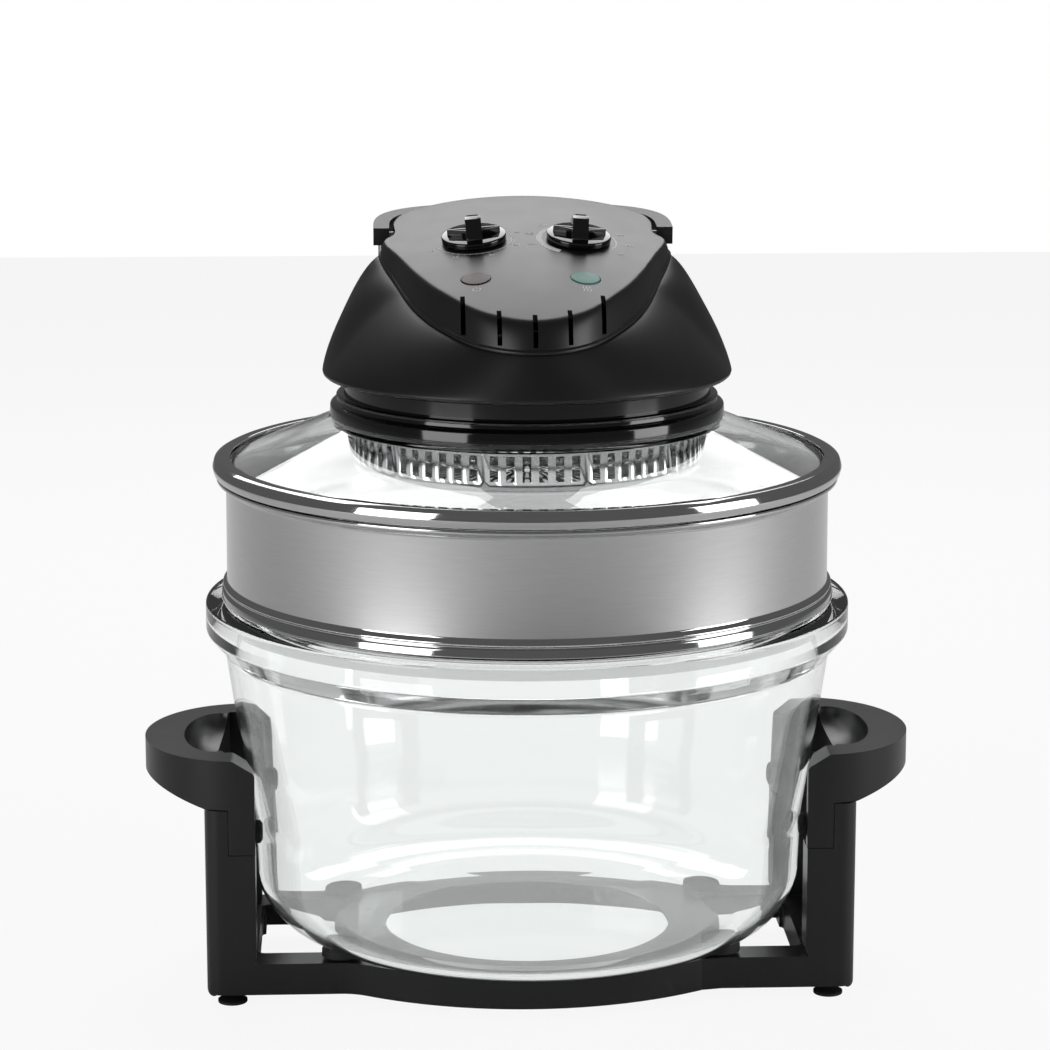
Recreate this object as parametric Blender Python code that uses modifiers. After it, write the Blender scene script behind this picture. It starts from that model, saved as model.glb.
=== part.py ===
"""Countertop convection oven: glass bowl in a moulded stand, steel extender ring,
glass lid, and a plastic head with heater, fan, two dials and a carrying bail.

Metres, +Z up. The origin is on the floor, under the middle of the bowl, and the
user stands on the -Y side.
"""

import math

import bmesh
import bpy
from mathutils import Matrix, Vector

# Shared clearances and overruns
GAP = 0.0003
FACE_GAP = 0.0004
CUT_OVERRUN = 0.004
MERGE = 0.00001

# Glass bowl. Its rim sets the stand, the ring and the lid.
BOWL_RIM_RADIUS = 0.165
BOWL_RIM_TOP = 0.2008
BOWL_RIM_BAND = 0.013
BOWL_FLANGE_DROP = 0.0068
BOWL_NECK_INSET = 0.0095
BOWL_NECK_DROP = 0.0248
BOWL_BELLY_INSET = 0.0220
BOWL_BELLY_DROP = 0.1108
BOWL_LOW_INSET = 0.0240
BOWL_CORNER_RADIUS = 0.034
BOWL_WALL = 0.0045
BOWL_MOUTH_INSET = 0.0138
BOWL_CLEARANCE = 0.0012
BOWL_NECK_RADIUS = BOWL_RIM_RADIUS - BOWL_NECK_INSET
BOWL_NECK_HEIGHT = BOWL_RIM_TOP - BOWL_NECK_DROP
BOWL_BELLY_RADIUS = BOWL_RIM_RADIUS - BOWL_BELLY_INSET
BOWL_BELLY_HEIGHT = BOWL_RIM_TOP - BOWL_BELLY_DROP
BOWL_LOW_RADIUS = BOWL_RIM_RADIUS - BOWL_LOW_INSET
BOWL_MOUTH_RADIUS = BOWL_RIM_RADIUS - BOWL_MOUTH_INSET

# Stand: moulded frame with four posts
STAND_OVERHANG = 0.0005
STAND_HALF_DEPTH = 0.059
STAND_CORNER = 0.008
POST_WIDTH = 0.0255
POST_DEPTH = 0.018
BAR_TOP = 0.024
BAR_FILLET = 0.005
SEAT_OUTER_TOP = 0.1032
SEAT_INNER_TOP = 0.0797
SEAT_WIDTH = 0.0135
BULGE_REACH = 0.087
BULGE_HALF_CHORD = 0.090
RING_OUTER = 0.100
RING_INNER = 0.074
STAND_WALL = 0.0026
STAND_SKIN = 0.003
STAND_EDGE = 0.0012
FOOT_RADIUS = 0.0075
FOOT_HEIGHT = 0.0015
STAND_HALF_LENGTH = BOWL_RIM_RADIUS + STAND_OVERHANG

# Crescent handles
GRIP_OVERHANG = 0.0320
GRIP_CENTRE_SHARE = 0.75
GRIP_RISE = 0.0258
GRIP_UNDERSIDE_RISE = 0.0098
GRIP_INNER_DROP = 0.0070
GRIP_CHAMFER = 0.013
GRIP_EDGE = 0.0020
SCOOP_RADIUS_X = 0.017
SCOOP_RADIUS_Y = 0.036
SCOOP_DEPTH = 0.013
GRIP_REACH = STAND_HALF_LENGTH + GRIP_OVERHANG
GRIP_TOP = SEAT_OUTER_TOP + GRIP_RISE
GRIP_OUTER_UNDERSIDE = SEAT_OUTER_TOP + GRIP_UNDERSIDE_RISE
GRIP_INNER_TOP = GRIP_TOP - GRIP_INNER_DROP

# Rubber
BUMPER_RADIUS = 0.006
BUMPER_REACH = 0.0035
BUMPER_HEIGHT = 0.090
BUMPER_SHARES = ((0.0, 0.0), (1.0, 0.0), (1.0, 0.35), (0.6, 0.9), (0.0, 1.0))
PAD_RADIUS = 0.010
PAD_X = 0.097
PAD_Y = 0.050
PAD_HEIGHT = 0.0040

# Steel extender ring
EXTENDER_INSET = 0.0113
EXTENDER_RISE = 0.0647
EXTENDER_SHEET = 0.0010
EXTENDER_LIP_WIDTH = 0.0048
EXTENDER_BEAD_WIDTH = 0.0033
EXTENDER_BEAD_HEIGHT = 0.0105
EXTENDER_SKIRT_INSET = 0.0032
EXTENDER_SKIRT_DROP = 0.008
EXTENDER_RADIUS = BOWL_RIM_RADIUS - EXTENDER_INSET
EXTENDER_TOP = BOWL_RIM_TOP + EXTENDER_RISE
EXTENDER_LIP = EXTENDER_RADIUS + EXTENDER_LIP_WIDTH
EXTENDER_BEAD = EXTENDER_RADIUS + EXTENDER_BEAD_WIDTH
EXTENDER_SKIRT_RADIUS = EXTENDER_RADIUS - EXTENDER_SKIRT_INSET

# Lid
LID_RIM_OVERHANG = 0.0068
LID_RIM_HEIGHT = 0.0094
LID_RIM_SHEET = 0.0012
LID_RIM_WIDTH = 0.0090
LID_RIM_BEAD = 0.0035
LID_GLASS_WALL = 0.0040
LID_FLANGE = 0.0065
LID_CONE_TOP = 0.0990
LID_HOLE = 0.0885
LID_RISE = 0.0285
GASKET_WIDTH = 0.0050
LID_RIM_RADIUS = EXTENDER_RADIUS + LID_RIM_OVERHANG
LID_RIM_LIP = LID_RIM_RADIUS - LID_RIM_WIDTH
LID_GLASS_EDGE = LID_RIM_RADIUS - LID_RIM_BEAD
LID_CONE_FOOT = LID_GLASS_EDGE - LID_FLANGE
LID_TOP = EXTENDER_TOP + LID_RISE

# Head, lower parts
BAND_RADIUS = 0.0930
BAND_RISE = 0.0335
BAND_TOP = LID_TOP + BAND_RISE
BAND_WALL = 0.0025
FLOOR_THICKNESS = 0.0030
BOSS_RADIUS = 0.0045
BOSS_CIRCLE = 0.0780
COLLAR_RADIUS = 0.1002
COLLAR_HEIGHT = 0.0085
COLLAR_STEP = 0.0970
COLLAR_TOP_RADIUS = 0.0958
COLLAR_TOTAL = 0.0128
COLLAR_GROOVE = 0.0012

# Heater
GUARD_RADIUS = 0.0880
GUARD_DROP = 0.0260
GUARD_BOTTOM = LID_TOP - GUARD_DROP
GUARD_SHEET = 0.0010
GUARD_FLANGE = 0.0965
GUARD_CORNER = 0.0025
SLOT_GROUPS = 11
SLOTS_PER_GROUP = 2
SLOT_WIDTH = 0.0130
SLOT_PITCH_SHARE = 0.400
SLOT_FOOT = 0.0060
SLOT_HEIGHT = 0.0130
VENT_COUNT = 8
VENT_CIRCLE = 0.040
VENT_RADIUS = 0.0090
SHIELD_RADIUS = 0.0860
SHIELD_SHEET = 0.0008
SHIELD_DROP = 0.0046
TUBE_CIRCLE = 0.0660
TUBE_RADIUS = 0.0045
TUBE_DROP = 0.0145
HOLDER_SIZE = (0.013, 0.014, 0.0150)
HOLDER_SPLIT = 0.006

# Fans, shaft and motor
SHAFT_RADIUS = 0.0025
SHAFT_BORE = 0.0050
SHAFT_DROP = 0.0195
SHAFT_LENGTH = 0.0770
SHAFT_FOOT = LID_TOP - SHAFT_DROP
SHAFT_TOP = SHAFT_FOOT + SHAFT_LENGTH
FAN_RADIUS = 0.0480
FAN_BLADES = 6
BLADE_TURN = math.radians(25.0)
FAN_DISC = 0.0010
FAN_BLADE_HEIGHT = 0.0085
FAN_BLADE_SHEET = 0.0014
FAN_BLADE_LENGTH = 0.030
FAN_HUB = 0.0080
FAN_DROP = 0.0075
FAN_TOP = LID_TOP - FAN_DROP
NUT_RADIUS = 0.0055
NUT_HEIGHT = 0.0052
MOTOR_RADIUS = 0.0270
MOTOR_RISE = 0.0180
MOTOR_FOOT = LID_TOP + MOTOR_RISE
MOTOR_HEIGHT = 0.0260
BRACKET_HALF_SPAN = 0.0600
BRACKET_WIDTH = 0.0240
BRACKET_SHEET = 0.0020
COOLER_RADIUS = 0.0380
COOLER_RISE = 0.0490
COOLER_FOOT = LID_TOP + COOLER_RISE
COOLER_HEIGHT = 0.0080

# Dome
DOME_RADIUS = 0.1040
DOME_RISE = 0.0245
DOME_ROUND = 0.0028
DOME_WALL = 0.0025
DOME_SHELF_DROP = 0.0015
DOME_SIDE_POWER_SHARE = 1.5
DOME_FRONT_POWER_SHARE = 1.16
DOME_BLEND_START = 76.0
DOME_BLEND_SPAN = 22.0
DOME_STEPS = 6
REAR_SLOTS = 6
REAR_SLOT_WIDTH = 0.0034
REAR_SLOT_PITCH = 0.0101
REAR_SLOT_RISE = 0.0195
REAR_SLOT_HEIGHT = 0.0180
GLAND_RADIUS = 0.0070
GLAND_NECK = 0.0048
GLAND_RISE = 0.0115
GLAND_LENGTH = 0.0160
DOME_FOOT = LID_TOP + DOME_RISE
DOME_SHELF_HEIGHT = DOME_FOOT - DOME_SHELF_DROP
REAR_SLOT_LOW = DOME_FOOT + REAR_SLOT_RISE
REAR_SLOT_HIGH = REAR_SLOT_LOW + REAR_SLOT_HEIGHT
GLAND_HEIGHT = DOME_FOOT + GLAND_RISE

# Control pod. The outlines run from the nose, in front, round the right side to the back.
POD_NOSE_RISE = 0.0215
POD_SIDE_RISE = 0.0370
POD_RISE_SHARE = 1.3
POD_WALL = 0.0024
POD_LIP = 0.0018
POD_LIP_STEP = 0.0010
POD_EDGE_DROP = 0.0045
POD_FRONT_HEIGHT = 0.0160
POD_BACK_HEIGHT = 0.0570
POD_FRONT_Y = -0.0880
POD_BACK_Y = 0.0750
POD_CROWN = 0.0040
POD_SIDE_DROP = 0.0089
POD_HALF_WIDTH = 0.0770
POD_LENGTH = 0.0980
ROLL_SHARES = ((0.28, 1.60), (0.62, 0.65), (0.85, 0.18))
CROWN_SHARES = (0.97, 0.74, 0.40)
HOLLOW_SHARES = (0.94, 0.60)
TOP_EDGE_SHARES = (
    (0.000, -0.898), (0.320, -0.786), (0.565, -0.515), (0.715, -0.260), (0.830, 0.010),
    (0.925, 0.265), (0.862, 0.365), (0.862, 0.560), (0.760, 0.700), (0.440, 0.780), (0.000, 0.806),
)
LIP_SHARES = (
    (0.000, -1.000), (0.330, -0.890), (0.610, -0.600), (0.770, -0.340), (0.885, -0.030),
    (0.974, 0.250), (0.885, 0.362), (0.885, 0.575), (0.790, 0.730), (0.455, 0.822), (0.000, 0.855),
)
OUTLINE_STEPS = 2
POD_NOSE_Z = DOME_FOOT + POD_NOSE_RISE
POD_SIDE_Z = POD_NOSE_Z + POD_SIDE_RISE
POD_FRONT_TOP = POD_NOSE_Z + POD_FRONT_HEIGHT
POD_BACK_TOP = POD_NOSE_Z + POD_BACK_HEIGHT
SLOT_COUNT = 5
APRON_SLOT_PITCH = 0.0172
APRON_SLOT_WIDTH = 0.0024
APRON_SLOT_TOP_REACH = 0.0060
APRON_SLOT_FOOT = 0.0030

# Dials and lamps
DIAL_X = 0.0265
DIAL_Y = 0.0080
KNOB_RADIUS = 0.0165
KNOB_SKIRT = 0.0030
KNOB_GAP = 0.0006
KNOB_WING_HEIGHT = 0.0100
KNOB_WING_WIDTH = 0.0080
KNOB_WING_LENGTH = 0.0300
KNOB_CROSS_WIDTH = 0.0046
KNOB_CROSS_HEIGHT = 0.0030
POINTER_WIDTH = 0.0058
POINTER_LENGTH = 0.0150
POINTER_SHEET = 0.0008
STEM_RADIUS = 0.0030
UNIT_SIZE = (0.028, 0.030, 0.0170)
UNIT_DROP = 0.0012
LAMP_X = 0.0272
LAMP_Y = -0.0420
LAMP_RADIUS = 0.0074
LAMP_DEPTH = 0.0080
LAMP_PROUD = 0.0004

# Carrying bail
BAIL_PIVOT_Y = 0.0460
BAIL_PIVOT_RISE = 0.0040
BAIL_OUTER_X = 0.0775
BAIL_INNER_X = 0.0693
BAIL_OUTER_REACH = 0.0560
BAIL_INNER_REACH = 0.0460
BAIL_THICKNESS = 0.0090
BAIL_HEEL = 0.0032
BAIL_TILT = math.radians(6.0)
BAIL_POWER_SHARE = 3.0
BAIL_PIVOT_Z = POD_SIDE_Z + BAIL_PIVOT_RISE
PIN_RADIUS = 0.0020
PIN_BORE = 0.0021
PIN_LENGTH = 0.0125

# Safety switch under the bail
PLUNGER_X = -0.0735
PLUNGER_Y = 0.0560
PLUNGER_RADIUS = 0.0015
PLUNGER_BORE = 0.0022
SWITCH_SIZE = (0.012, 0.014, 0.0160)
TERMINAL_SIZE = (0.030, 0.012, 0.0130)
TERMINAL_Y = 0.0600

ROUND_STEPS = 28
FAN_STEPS = 18
SMALL_STEPS = 10
ARC_STEPS = 4
BOWL_ARC_STEPS = 5
TUBE_STEPS = 24
HOLE_STEPS = 8


def clear_scene():
    for old in list(bpy.data.objects):
        bpy.data.objects.remove(old, do_unlink=True)


def new_collection(name):
    group = bpy.data.collections.new(name)
    bpy.context.scene.collection.children.link(group)
    return group


def make_material(name, colour, roughness, metallic, alpha=1.0):
    mat = bpy.data.materials.new(name)
    mat.use_nodes = True
    shader = mat.node_tree.nodes["Principled BSDF"]
    shader.inputs["Base Color"].default_value = (*colour, 1.0)
    shader.inputs["Roughness"].default_value = roughness
    shader.inputs["Metallic"].default_value = metallic
    shader.inputs["Alpha"].default_value = alpha
    mat.diffuse_color = (*colour, alpha)
    return mat


def own_material(obj, finish):
    """Give a part its own material, from a (colour, roughness, metallic) finish."""
    colour, roughness, metallic = finish
    obj.data.materials.clear()
    obj.data.materials.append(make_material(obj.name + "_finish", colour, roughness, metallic))


BLACK_MATT = ((0.012, 0.012, 0.013), 0.42, 0.0)
BLACK_GLOSS = ((0.006, 0.006, 0.006), 0.12, 0.0)
GREY_PLASTIC = ((0.45, 0.45, 0.46), 0.35, 0.0)
RUBBER = ((0.015, 0.015, 0.015), 0.8, 0.0)
SILICONE = ((0.55, 0.55, 0.55), 0.6, 0.0)
STEEL = ((0.62, 0.62, 0.63), 0.08, 1.0)
DULL_STEEL = ((0.48, 0.48, 0.49), 0.3, 1.0)
ALUMINIUM = ((0.7, 0.7, 0.71), 0.3, 1.0)
CLEAR_GLASS = ((0.85, 0.88, 0.88), 0.02, 0.0)
QUARTZ = ((0.8, 0.8, 0.75), 0.05, 0.0)
CERAMIC = ((0.75, 0.73, 0.68), 0.7, 0.0)
RED_LENS = ((0.032, 0.006, 0.004), 0.2, 0.0)
TEAL_LENS = ((0.03, 0.24, 0.2), 0.2, 0.0)


def adopt(obj, group):
    """Move an object that Blender linked elsewhere into the collection."""
    for old in list(obj.users_collection):
        old.objects.unlink(obj)
    group.objects.link(obj)
    return obj


def mesh_object(name, mesh, group):
    obj = bpy.data.objects.new(name, mesh)
    group.objects.link(obj)
    return obj


def smooth(obj, degrees=35.0):
    obj.data.shade_smooth()
    obj.data.set_sharp_from_angle(angle=math.radians(degrees))


def box(name, size, centre, group):
    bpy.ops.mesh.primitive_cube_add(size=1.0)
    obj = adopt(bpy.context.object, group)
    obj.name = name
    obj.data.transform(Matrix.Translation(centre) @ Matrix.Diagonal((*size, 1.0)))
    return obj


def cylinder(name, radius, low, high, group, steps=SMALL_STEPS):
    """A solid cylinder between two points."""
    start = Vector(low)
    run = Vector(high) - start
    bpy.ops.mesh.primitive_cylinder_add(vertices=steps, radius=radius, depth=run.length)
    obj = adopt(bpy.context.object, group)
    obj.name = name
    turn = run.to_track_quat("Z", "Y").to_matrix().to_4x4()
    obj.data.transform(Matrix.Translation(start + run / 2) @ turn)
    smooth(obj)
    return obj


def signed_area(points):
    """Twice the area that an outline encloses, positive when it runs anticlockwise."""
    return sum(a[0] * b[1] - b[0] * a[1] for a, b in zip(points, points[1:] + points[:1]))


def turned(name, profile, group, steps=ROUND_STEPS):
    """Turn a closed (radius, height) outline about Z. Points on the axis are left open."""
    points = list(profile)
    if signed_area(points) > 0:
        points.reverse()
    on_axis = [i for i, p in enumerate(points) if p[0] == 0]
    closed = not on_axis
    if on_axis:
        start = next(i for i in on_axis if points[(i + 1) % len(points)][0] != 0)
        points = points[start:] + points[:start]
    mesh = bpy.data.meshes.new(name)
    edges = [(i, i + 1) for i in range(len(points) - 1)]
    if closed:
        edges.append((len(points) - 1, 0))
    mesh.from_pydata([(r, 0, z) for r, z in points], edges, [])
    obj = mesh_object(name, mesh, group)
    screw = obj.modifiers.new("Turn", "SCREW")
    screw.angle = math.tau
    screw.steps = steps
    screw.render_steps = steps
    screw.axis = "Z"
    screw.use_merge_vertices = True
    screw.merge_threshold = MERGE
    screw.use_smooth_shade = True
    return bake(obj)


def bake(obj):
    """Replace an object's mesh by its evaluated one, so that later cuts stay quick."""
    graph = bpy.context.evaluated_depsgraph_get()
    mesh = bpy.data.meshes.new_from_object(obj.evaluated_get(graph))
    work = bmesh.new()
    work.from_mesh(mesh)
    bmesh.ops.remove_doubles(work, verts=work.verts, dist=MERGE)
    bmesh.ops.recalc_face_normals(work, faces=work.faces)
    work.to_mesh(mesh)
    work.free()
    fresh = bpy.data.objects.new(obj.name + "_baked", mesh)
    fresh.matrix_world = obj.matrix_world
    obj.users_collection[0].objects.link(fresh)
    name = obj.name
    bpy.data.objects.remove(obj, do_unlink=True)
    fresh.name = name
    smooth(fresh)
    return fresh


def plate(name, outlines, low, high, group):
    """A flat plate from one outer outline and any holes, between two heights."""
    curve = bpy.data.curves.new(name, "CURVE")
    curve.dimensions = "2D"
    curve.fill_mode = "BOTH"
    curve.extrude = (high - low) / 2
    for outline in outlines:
        spline = curve.splines.new("POLY")
        spline.points.add(len(outline) - 1)
        for point, (x, y) in zip(spline.points, outline):
            point.co = (x, y, 0, 1)
        spline.use_cyclic_u = True
    obj = bpy.data.objects.new(name, curve)
    group.objects.link(obj)
    obj.location.z = (high + low) / 2
    bpy.context.view_layer.update()
    obj = bake(obj)
    place = obj.matrix_world.copy()
    obj.data.transform(place)
    obj.matrix_world = Matrix.Identity(4)
    return obj


def side_plate(name, outline, y_low, y_high, group):
    """A plate whose (x, z) outline faces the user."""
    obj = plate(name, [outline], -y_high, -y_low, group)
    obj.data.transform(Matrix.Rotation(math.pi / 2, 4, "X"))
    return obj


def boolean(target, other, operation, tools):
    """Cut or join with another solid, which becomes a hidden guide."""
    adopt(other, tools)
    other.hide_render = True
    other.display_type = "WIRE"
    step = target.modifiers.new(operation.title(), "BOOLEAN")
    step.operation = operation
    step.object = other
    step.solver = "EXACT"


def cut(target, other, tools):
    boolean(target, other, "DIFFERENCE", tools)


def join(target, other, tools):
    boolean(target, other, "UNION", tools)


def keep_common(target, other, tools):
    boolean(target, other, "INTERSECT", tools)


def round_edges(obj, width, segments=2, degrees=40.0):
    bevel = obj.modifiers.new("Edges", "BEVEL")
    bevel.width = width
    bevel.segments = segments
    bevel.limit_method = "ANGLE"
    bevel.angle_limit = math.radians(degrees)


def arc(centre, radius, start, end, steps=ARC_STEPS):
    """Points of an arc, in degrees, from start to end."""
    points = []
    for i in range(steps + 1):
        angle = math.radians(start + (end - start) * i / steps)
        points.append((centre[0] + radius * math.cos(angle), centre[1] + radius * math.sin(angle)))
    return points


def circle(radius, centre=(0, 0), steps=ROUND_STEPS):
    return arc(centre, radius, 0, 360, steps)[:-1]


def spline_loop(points, steps):
    """A closed smooth curve through the points."""
    count = len(points)
    result = []
    for i in range(count):
        p0, p1, p2, p3 = (Vector(points[(i + k) % count]) for k in (-1, 0, 1, 2))
        for k in range(steps):
            t = k / steps
            result.append(tuple(
                0.5 * ((2 * p1) + (p2 - p0) * t + (2 * p0 - 5 * p1 + 4 * p2 - p3) * t ** 2
                       + (3 * p1 - p0 - 3 * p2 + p3) * t ** 3)))
    return result


# Stand


def bulge_points(reach, half_chord, depth):
    """The front arc of the stand, from its left end to its right end."""
    rise = reach - depth
    radius = (half_chord ** 2 + rise ** 2) / (2 * rise)
    sweep = math.degrees(math.asin(half_chord / radius))
    return arc((0, radius - reach), radius, 270 - sweep, 270 + sweep, 3 * ARC_STEPS)


def stand_outline(inset):
    """The stand from above: a rounded frame whose front and back bulge with the bowl."""
    x = STAND_HALF_LENGTH - inset
    y = STAND_HALF_DEPTH - inset
    corner = max(STAND_CORNER - inset, STAND_CORNER / 4)
    front = bulge_points(BULGE_REACH - inset, BULGE_HALF_CHORD - inset, y)
    half = arc((-x + corner, -y + corner), corner, 180, 270) + front
    half += arc((x - corner, -y + corner), corner, 270, 360)
    return half + [(-px, -py) for px, py in half]


def stand_holes(grow):
    """The floor openings of the stand: the middle and one at each side."""
    x = STAND_HALF_LENGTH - POST_WIDTH + grow
    y = STAND_HALF_DEPTH - POST_DEPTH + grow
    ring = RING_OUTER - grow
    sweep = math.degrees(math.asin(y / ring))
    side = [(x, -y), (x, y)] + arc((0, 0), ring, sweep, -sweep, 2 * ARC_STEPS)
    return [circle(RING_INNER + grow), side, [(-px, py) for px, py in side]]


def stand_profile():
    """The stand from the front: posts, stepped where the handles seat, and the low bar."""
    outer = STAND_HALF_LENGTH
    inner = outer - POST_WIDTH
    step = inner + SEAT_WIDTH
    foot = FOOT_HEIGHT + GAP
    right = [(outer, foot), (outer, SEAT_OUTER_TOP), (step, SEAT_OUTER_TOP), (step, SEAT_INNER_TOP),
             (inner, SEAT_INNER_TOP)]
    right += arc((inner - BAR_FILLET, BAR_TOP + BAR_FILLET), BAR_FILLET, 360, 270)
    return right + [(-x, z) for x, z in reversed(right)]


def stand_base(parts, tools):
    """The stand: its front view and its plan cut to what they share, then opened and hollowed."""
    front = BULGE_REACH + CUT_OVERRUN
    above = SEAT_OUTER_TOP + CUT_OVERRUN
    obj = side_plate("stand_base", stand_profile(), -front, front, parts)
    plan = plate("stand_plan", [stand_outline(0)] + stand_holes(0), -CUT_OVERRUN, above, tools)
    keep_common(obj, plan, tools)
    open_side = 2 * (STAND_HALF_DEPTH - POST_DEPTH)
    open_size = (2 * STAND_HALF_LENGTH + CUT_OVERRUN, open_side, SEAT_OUTER_TOP)
    between = box("stand_between", open_size, (0, 0, BAR_TOP + SEAT_OUTER_TOP / 2), tools)
    cut(obj, between, tools)
    obj = bake(obj)
    round_edges(obj, STAND_EDGE, 1)
    under_top = BAR_TOP - STAND_SKIN
    under_loops = [stand_outline(STAND_WALL)] + stand_holes(-STAND_WALL)
    under = plate("stand_under", under_loops, -CUT_OVERRUN, under_top, tools)
    reach = STAND_HALF_LENGTH - POST_WIDTH - STAND_WALL
    middle_size = (2 * reach, 2 * front, 2 * under_top)
    middle = box("stand_under_middle", middle_size, (0, 0, 0), tools)
    keep_common(under, middle, tools)
    cut(obj, under, tools)
    own_material(obj, BLACK_MATT)
    return obj


def bowl_radius(z):
    """Outer radius of the bowl between its belly and its neck."""
    share = (z - BOWL_BELLY_HEIGHT) / (BOWL_NECK_HEIGHT - BOWL_BELLY_HEIGHT)
    return BOWL_BELLY_RADIUS + (BOWL_NECK_RADIUS - BOWL_BELLY_RADIUS) * share


def grip_outline():
    """The right handle from above: a crescent outside, hollowed to the bowl inside."""
    centre = STAND_HALF_LENGTH - POST_WIDTH * (1 - GRIP_CENTRE_SHARE / 2)
    reach = GRIP_REACH - centre
    inner = STAND_HALF_LENGTH - POST_WIDTH
    deep = STAND_HALF_DEPTH
    shallow = deep - POST_DEPTH
    hollow = BOWL_NECK_RADIUS + BOWL_WALL
    points = [(inner, -deep)]
    for i in range(3 * ARC_STEPS + 1):
        angle = math.radians(-90 + 180 * i / (3 * ARC_STEPS))
        points.append((centre + reach * math.cos(angle), deep * math.sin(angle)))
    points.append((inner, deep))
    points.append((inner, shallow))
    sweep = math.degrees(math.asin(shallow / hollow))
    points += arc((0, 0), hollow, sweep, -sweep, 2 * ARC_STEPS)
    points.append((inner, -shallow))
    return points


def grip_profile():
    """The right handle from the front: a slab with a sloping underside and the leg at the post."""
    inner = STAND_HALF_LENGTH - POST_WIDTH
    step = inner + SEAT_WIDTH - GAP
    over = GRIP_REACH + CUT_OVERRUN
    return [
        (inner, SEAT_INNER_TOP + GAP), (step, SEAT_INNER_TOP + GAP), (step, SEAT_OUTER_TOP + GAP),
        (STAND_HALF_LENGTH, SEAT_OUTER_TOP + GAP), (over, GRIP_OUTER_UNDERSIDE), (over, GRIP_TOP),
        (inner + GRIP_CHAMFER, GRIP_TOP), (inner, GRIP_INNER_TOP),
    ]


def handle(name, side, parts, tools):
    """One crescent handle. side is 1 at the right and -1 at the left."""
    below = SEAT_INNER_TOP - CUT_OVERRUN
    above = GRIP_TOP + CUT_OVERRUN
    depth = STAND_HALF_DEPTH + CUT_OVERRUN
    obj = plate(name, [grip_outline()], below, above, parts)
    shape = side_plate(name + "_shape", grip_profile(), -depth, depth, tools)
    keep_common(obj, shape, tools)
    bpy.ops.mesh.primitive_uv_sphere_add(segments=16, ring_count=8, radius=1.0)
    scoop = adopt(bpy.context.object, tools)
    scoop.name = name + "_scoop"
    scoop.data.transform(Matrix.Diagonal((SCOOP_RADIUS_X, SCOOP_RADIUS_Y, SCOOP_DEPTH, 1.0)))
    scoop.data.transform(Matrix.Translation((BOWL_NECK_RADIUS + BOWL_WALL, 0, GRIP_TOP)))
    cut(obj, scoop, tools)
    radius = bowl_radius(GRIP_TOP) + BOWL_CLEARANCE
    room = cylinder(name + "_bowl_room", radius, (0, 0, below), (0, 0, above), tools, 2 * ROUND_STEPS)
    cut(obj, room, tools)
    obj = bake(obj)
    if side < 0:
        obj.data.transform(Matrix.Diagonal((-1.0, 1.0, 1.0, 1.0)))
        obj.data.flip_normals()
    round_edges(obj, GRIP_EDGE, 1)
    own_material(obj, BLACK_MATT)
    return obj


def corners():
    """Name and signs of the four corners of the stand."""
    return (("front_left", -1, -1), ("front_right", 1, -1), ("rear_left", -1, 1), ("rear_right", 1, 1))


def stand_rubber(parts):
    """Feet under the posts, pads under the bowl and bumpers at its side."""
    post_y = STAND_HALF_DEPTH - POST_DEPTH / 2
    post_x = STAND_HALF_LENGTH - POST_WIDTH / 2
    inner = STAND_HALF_LENGTH - POST_WIDTH
    pad_low = BAR_TOP + GAP
    pad_top = pad_low + PAD_HEIGHT
    for name, sx, sy in corners():
        x, y = sx * post_x, sy * post_y
        foot = cylinder("foot_" + name, FOOT_RADIUS, (x, y, 0), (x, y, FOOT_HEIGHT), parts)
        own_material(foot, RUBBER)
        x, y = sx * PAD_X, sy * PAD_Y
        pad = cylinder("bowl_pad_" + name, PAD_RADIUS, (x, y, pad_low), (x, y, pad_top), parts)
        own_material(pad, RUBBER)
        outline = [(r * BUMPER_RADIUS, z * BUMPER_REACH) for r, z in BUMPER_SHARES]
        bumper = turned("bumper_" + name, outline, parts, SMALL_STEPS)
        turn = Matrix.Rotation(-sx * math.pi / 2, 4, "Y")
        place = Matrix.Translation((sx * (inner - GAP), sy * post_y, BUMPER_HEIGHT))
        bumper.data.transform(place @ turn)
        own_material(bumper, RUBBER)


# Bowl, extender ring and lid


def glass_bowl(parts):
    """The bowl: a thick wall that flares from a flat foot to its rim."""
    foot = BAR_TOP + PAD_HEIGHT + 2 * GAP
    corner_x = BOWL_LOW_RADIUS - BOWL_CORNER_RADIUS
    corner_z = foot + BOWL_CORNER_RADIUS
    centre = (corner_x, corner_z)
    band_low = BOWL_RIM_TOP - BOWL_RIM_BAND
    outer = [(0, foot)] + arc(centre, BOWL_CORNER_RADIUS, 270, 360, BOWL_ARC_STEPS)
    outer += [
        (BOWL_BELLY_RADIUS, BOWL_BELLY_HEIGHT), (BOWL_NECK_RADIUS, BOWL_NECK_HEIGHT),
        ((BOWL_NECK_RADIUS + BOWL_RIM_RADIUS) / 2, BOWL_NECK_HEIGHT + BOWL_FLANGE_DROP),
        (BOWL_RIM_RADIUS, band_low + BOWL_WALL / 2), (BOWL_RIM_RADIUS, BOWL_RIM_TOP - BOWL_WALL / 2),
        (BOWL_RIM_RADIUS - BOWL_WALL / 3, BOWL_RIM_TOP),
    ]
    inner = [
        (BOWL_MOUTH_RADIUS, BOWL_RIM_TOP), (BOWL_NECK_RADIUS - BOWL_WALL, BOWL_NECK_HEIGHT),
        (BOWL_BELLY_RADIUS - BOWL_WALL, BOWL_BELLY_HEIGHT),
    ]
    inner += arc(centre, BOWL_CORNER_RADIUS - BOWL_WALL, 360, 270, BOWL_ARC_STEPS)
    inner.append((0, foot + BOWL_WALL))
    obj = turned("glass_bowl", outer + inner, parts)
    own_material(obj, CLEAR_GLASS)
    return obj


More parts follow.
